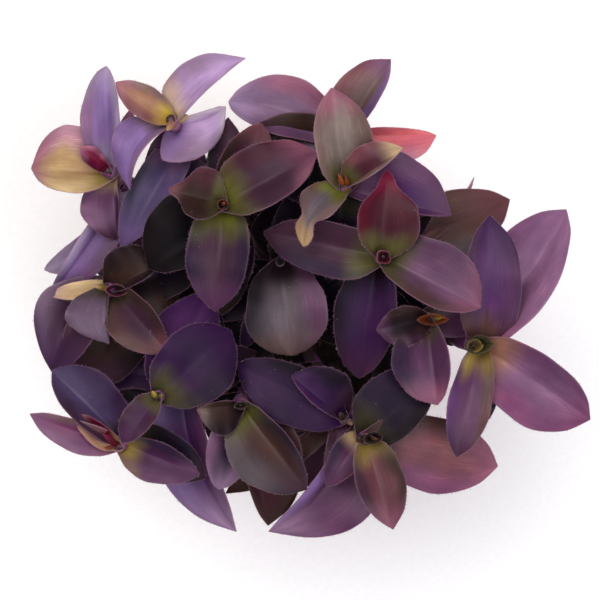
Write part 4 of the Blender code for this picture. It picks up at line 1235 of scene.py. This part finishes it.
def drainTool():
    # plugs through the pot's floor, one for each drain hole
    shape = potShape
    radius, ring = shape["drainRadius"] * mm, shape["drainRing"] * mm
    bm = bmesh.new()
    for index in range(shape["drainHoles"]):
        angle = fullTurn * index / shape["drainHoles"]
        place = (ring * math.cos(angle), ring * math.sin(angle), shape["plugMiddle"] * mm)
        bmesh.ops.create_cone(bm, cap_ends=True, segments=shape["drainSides"], radius1=radius,
                              radius2=radius, depth=shape["plugLength"] * mm,
                              matrix=Matrix.Translation(place))
    return bmeshObject(bm, "drainTool")


def makePot():
    shape = potShape
    high, soft, floor, wall = (shape[key] for key in ("height", "soft", "floor", "wall"))
    rim, band = shape["topRadius"], high - shape["bandHeight"]
    profile = roundedProfile([
        (0.0, 0.0, 0), (shape["baseRadius"], 0.0, soft * 1.6), (wallRadius(band), band, soft * 0.8),
        (rim - shape["bandTaper"], band, soft), (rim, high, soft * 1.8),
        (wallRadius(high) - wall, high, soft * 1.8), (wallRadius(band) - wall, band, soft * 3),
        (wallRadius(floor) - wall, floor, soft * 3), (0.0, floor, 0),
    ])
    bm = bmesh.new()
    count = shape["steps"]
    rings = []
    for radius, z in profile[1:-1]:
        turned = shape["turning"] * (shape["plainFoot"] < z < high - shape["plainRim"])
        ring = []
        for step in range(count):
            angle = fullTurn * step / count
            r = radius + turned * sum(much * math.sin(z * wave + angle * times)
                                      for wave, times, much in shape["turnWaves"])
            ring.append(bm.verts.new((r * math.cos(angle) * mm, r * math.sin(angle) * mm, z * mm)))
        rings.append(ring)
    for low, top in zip(rings, rings[1:]):
        for step in range(count):
            after = (step + 1) % count
            bm.faces.new((low[step], low[after], top[after], top[step]))
    bm.faces.new(rings[0][::-1])
    bm.faces.new(rings[-1])
    bmesh.ops.recalc_face_normals(bm, faces=bm.faces)
    pot = bmeshObject(bm, "clayPot")
    tool = drainTool()
    cut = pot.modifiers.new("drain", "BOOLEAN")
    cut.operation = "DIFFERENCE"
    cut.object = tool
    bpy.context.view_layer.update()
    solved = pot.evaluated_get(bpy.context.evaluated_depsgraph_get())
    pot.data = bpy.data.meshes.new_from_object(solved)
    pot.modifiers.clear()
    bpy.data.objects.remove(tool, do_unlink=True)
    pot.data.materials.clear()
    pot.data.materials.append(terracottaMaterial())
    pot.data.shade_smooth()
    pot.data.set_sharp_from_angle(angle=math.radians(shape["sharpAngle"]))
    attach(pot, "root")
    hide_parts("pot")


makePot()
print("pot made")


soilShape = {
    "crown": 4.0, "gap": 0.3,                   # mm, higher in the middle, clear of the pot
    # low lumps of its face: mm high, then three waves with their steps in x and y and their shift
    "lump": 1.1, "waves": ((0.31, 0.0, 0.6), (0.0, 0.27, 1.17), (0.23, -0.37, 1.9)),
    "coarse": (0.16, 0.9), "fine": (0.5, 0.7),  # crumbs on its face: steps to the mm, mm high
    "rings": 46, "steps": 120, "sideHeights": (0, 30, 60),
    # loose grains: how many, sizes in mm, how flat
    "crumb": (420, (0.7, 2.6), 0.8),
    "perlite": (9, (0.8, 2.1), 0.85),
    "bark": (34, (1.6, 4.2), 0.3),
    "seed": 5, "spread": 55.5,                  # mm from the middle that they reach
    "stickOut": 0.15, "stretch": ((0.7, 1.3), (0.6, 1.0), (0.7, 1.1)),      # shares of the size
    "dents": 1.7, "dentDepth": 0.35, "tilt": 0.5,               # steps, share, radians
    # peat hues: damp peat, darkened further as painted shade under the foliage
    "peatColours": ((0.32, "#0f0a07"), (0.5, "#1f150f"), (0.68, "#35251a"), (0.8, "#4c3828")),
    "perliteColours": ((0.0, "#a79f93"), (0.5, "#e4dfd6")),
    "barkColours": ((0.35, "#2c1a10"), (0.65, "#6a4528")),
    "crumbScale": 2.2, "pitScale": 0.6, "layerScale": 1.5,      # mm
    "crumbRelief": 1.2, "pitRelief": 0.4,                       # mm
}


def soilHeight(x, y):
    reach = math.hypot(x, y) / (wallRadius(plant["soilTop"]) - potShape["wall"])
    first, second, third = (math.sin(a * x + b * y + c) for a, b, c in soilShape["waves"])
    lumps = first * second + 0.6 * third
    height = plant["soilTop"] + soilShape["crown"] * (1 - reach * reach)
    return height + soilShape["lump"] * lumps * (1 - reach ** 6)


def crumbly(x, y):
    (coarse, much), (fine, little) = soilShape["coarse"], soilShape["fine"]
    height = much * noise.noise(Vector((x * coarse, y * coarse, 0.0)))
    return height + little * noise.noise(Vector((x * fine, y * fine, 3.0)))


def peatMaterial():
    # crumbled peat and bark, damp: dark, matt, flecked with lighter fibre, and darker still as
    # painted shade under the foliage
    look = soilShape
    material, tree, shader = newMaterial("Peat potting mix, crumbled, damp")
    place = addNode(tree, "TexCoord").outputs["Object"]
    settings = {"Scale": 1 / (look["crumbScale"] * mm), "Detail": 6.0, "Roughness": 0.7}
    crumb = addNode(tree, "TexNoise", settings, {"Vector": place})
    body = addNode(tree, "ValToRGB", {"stops": look["peatColours"]}, {"Fac": crumb})
    bump = addNode(tree, "Bump", {"Strength": 0.8, "Distance": look["crumbRelief"] * mm},
                   {"Height": crumb})
    rough = addNode(tree, "MapRange", {3: 0.75, 4: 1.0}, {0: crumb})
    setNode(tree, shader, {"IOR": 1.4}, {"Base Color": body, "Roughness": rough, "Normal": bump})
    return material


def perliteMaterial():
    # volcanic glass expanded by heat: chalky white, pitted
    look = soilShape
    material, tree, shader = newMaterial("Perlite, expanded, chalky")
    place = addNode(tree, "TexCoord").outputs["Object"]
    pits = addNode(tree, "TexVoronoi", {"Scale": 1 / (look["pitScale"] * mm)}, {"Vector": place})
    body = addNode(tree, "ValToRGB", {"stops": look["perliteColours"]}, {"Fac": pits})
    bump = addNode(tree, "Bump", {"Strength": 0.6, "Distance": look["pitRelief"] * mm},
                   {"Height": pits})
    setNode(tree, shader, {"Roughness": 0.9}, {"Base Color": body, "Normal": bump})
    return material


def barkMaterial():
    # pine bark chipped for potting: flat brown flakes with darker layers
    look = soilShape
    material, tree, shader = newMaterial("Pine bark, chipped")
    place = addNode(tree, "TexCoord").outputs["Object"]
    layers = addNode(tree, "TexNoise", {"Scale": 1 / (look["layerScale"] * mm), "Detail": 4.0},
                     {"Vector": place})
    body = addNode(tree, "ValToRGB", {"stops": look["barkColours"]}, {"Fac": layers})
    setNode(tree, shader, {"Roughness": 0.85}, {"Base Color": body})
    return material


def addGrain(pile, ball, draw, size, flat):
    shape = soilShape
    reach = shape["spread"] * math.sqrt(draw.random())
    angle = draw.uniform(0, fullTurn)
    x, y = reach * math.cos(angle), reach * math.sin(angle)
    z = soilHeight(x, y) + crumbly(x, y) + size * flat * shape["stickOut"]
    stretch = np.array([draw.uniform(*limits) for limits in shape["stretch"]]) * (1, 1, flat)
    shift = Vector((draw.uniform(0, 50), 0, 0))
    dents = [noise.noise(Vector(p * shape["dents"]) + shift) for p in ball]
    points = ball * (1 + shape["dentDepth"] * np.array(dents))[:, None]
    spin = Matrix.Rotation(draw.uniform(0, 6.3), 3, "Z")
    turn = spin @ Matrix.Rotation(draw.uniform(-shape["tilt"], shape["tilt"]), 3, "X")
    points = (points * stretch * size) @ np.array(turn).T + (x, y, z)
    return addPoints(pile, points)


def makeSoil():
    shape = soilShape
    angles = [fullTurn * step / shape["steps"] for step in range(shape["steps"])]
    room = potShape["wall"] + shape["gap"]
    inner = wallRadius(plant["soilTop"]) - room
    rings = []
    for height in shape["sideHeights"]:
        z = potShape["floor"] + shape["gap"] + height
        radius = wallRadius(z) - room
        rings.append([(radius * math.cos(a), radius * math.sin(a), z) for a in angles])
    for index in range(shape["rings"]):
        radius = inner * (1 - index / shape["rings"])
        rough = min(1.0, (inner - radius) / 2 + 0.3)        # smoother where it meets the pot
        ring = []
        for a in angles:
            x, y = radius * math.cos(a), radius * math.sin(a)
            ring.append((x, y, soilHeight(x, y) + crumbly(x, y) * rough))
        rings.append(ring)
    pile = newPile()
    addLoft(pile, np.array(rings), 0)
    peat = peatMaterial()
    soil = pileObject(pile, "pottingMix", (peat,))
    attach(soil, "root")
    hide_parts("soil")

    bm = bmesh.new()
    bmesh.ops.create_icosphere(bm, subdivisions=2, radius=0.5)
    ball = np.array([tuple(v.co) for v in bm.verts])
    faces = [[v.index for v in face.verts] for face in bm.faces]
    bm.free()
    draw = random.Random(shape["seed"])
    grains = newPile()
    for slot, kind in enumerate(("crumb", "perlite", "bark")):
        count, sizes, flat = shape[kind]
        for _ in range(count):
            first = addGrain(grains, ball, draw, draw.uniform(*sizes), flat)
            grains["faces"].extend([[first + corner for corner in face] for face in faces])
            grains["slots"].extend([slot] * len(faces))
    made = pileObject(grains, "pottingMixGrains", (peat, perliteMaterial(), barkMaterial()))
    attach(made, "root")


makeSoil()
print("potting mix made")


# White paper floor, soft light from above, camera straight above as in the photograph
studio = {
    "floorSize": 6.0, "floorColour": "#ffffff", "fibreColour": "#fbfbfb",
    "fibre": 3.0,               # mm, paper fibre, drawn coarser
    "floorGap": 0.0002,         # m under the pot, so that the two faces don't coincide
    "cameraHeight": 4.0,        # m above the foliage, a long lens as the flat view shows
    "foliageHeight": 0.165, "frameWidth": 0.3, "sensorWidth": 36.0, "clipEnd": 20.0,
    "skyStrength": 0.35, "skyColour": "#ffffff", "lightAim": (0, 0, 0.12),
    "keyPlace": (-0.5, 0.65, 2.3), "keySize": 2.8, "keyPower": 61.0, "keyColour": "#fffdfb",
    "fillPlace": (1.1, -0.8, 1.7), "fillSize": 2.0, "fillPower": 25.0, "fillColour": "#f4f6ff",
}


def addLight(name):
    light = bpy.data.lights.new(name, "AREA")
    light.shape = "DISK"
    light.size = studio[name + "Size"]
    light.energy = studio[name + "Power"]
    light.color = linear(studio[name + "Colour"])
    holder = addObject(name, light)
    holder.location = studio[name + "Place"]
    aim = Vector(studio["lightAim"]) - Vector(studio[name + "Place"])
    holder.rotation_euler = aim.to_track_quat("-Z", "Y").to_euler()


def paperMaterial():
    # rolled background paper: matt, even, almost white
    paper, tree, shader = newMaterial("Background paper, rolled, matt")
    place = addNode(tree, "TexCoord").outputs["Object"]
    fibre = addNode(tree, "TexNoise", {"Scale": 1 / (studio["fibre"] * mm), "Detail": 2.0},
                    {"Vector": place})
    stops = ((0.3, studio["fibreColour"]), (0.7, studio["floorColour"]))
    body = addNode(tree, "ValToRGB", {"stops": stops}, {"Fac": fibre})
    setNode(tree, shader, {"Roughness": 0.9}, {"Base Color": body})
    return paper


def makeStudio():
    half, low = studio["floorSize"] / 2, -studio["floorGap"]
    mesh = bpy.data.meshes.new("floor")
    corners = [(x * half, y * half, low) for x, y in ((-1, -1), (1, -1), (1, 1), (-1, 1))]
    mesh.from_pydata(corners, [], [(0, 1, 2, 3)])
    mesh.materials.append(paperMaterial())
    floor = addObject("floor", mesh)

    world = bpy.data.worlds.new("studio")
    world.use_nodes = True
    sky = world.node_tree.nodes["Background"]
    sky.inputs["Color"].default_value = rgba(studio["skyColour"])
    sky.inputs["Strength"].default_value = studio["skyStrength"]
    bpy.context.scene.world = world
    addLight("key")
    addLight("fill")

    lens = bpy.data.cameras.new("camera")
    lens.sensor_width = studio["sensorWidth"]
    lens.lens = studio["sensorWidth"] * studio["cameraHeight"] / studio["frameWidth"]
    lens.clip_end = studio["clipEnd"]
    camera = addObject("camera", lens)
    camera.location = (0.0, 0.0, studio["foliageHeight"] + studio["cameraHeight"])
    bpy.context.scene.camera = camera
    bpy.context.scene.view_settings.view_transform = "Standard"


makeStudio()
print("studio made")
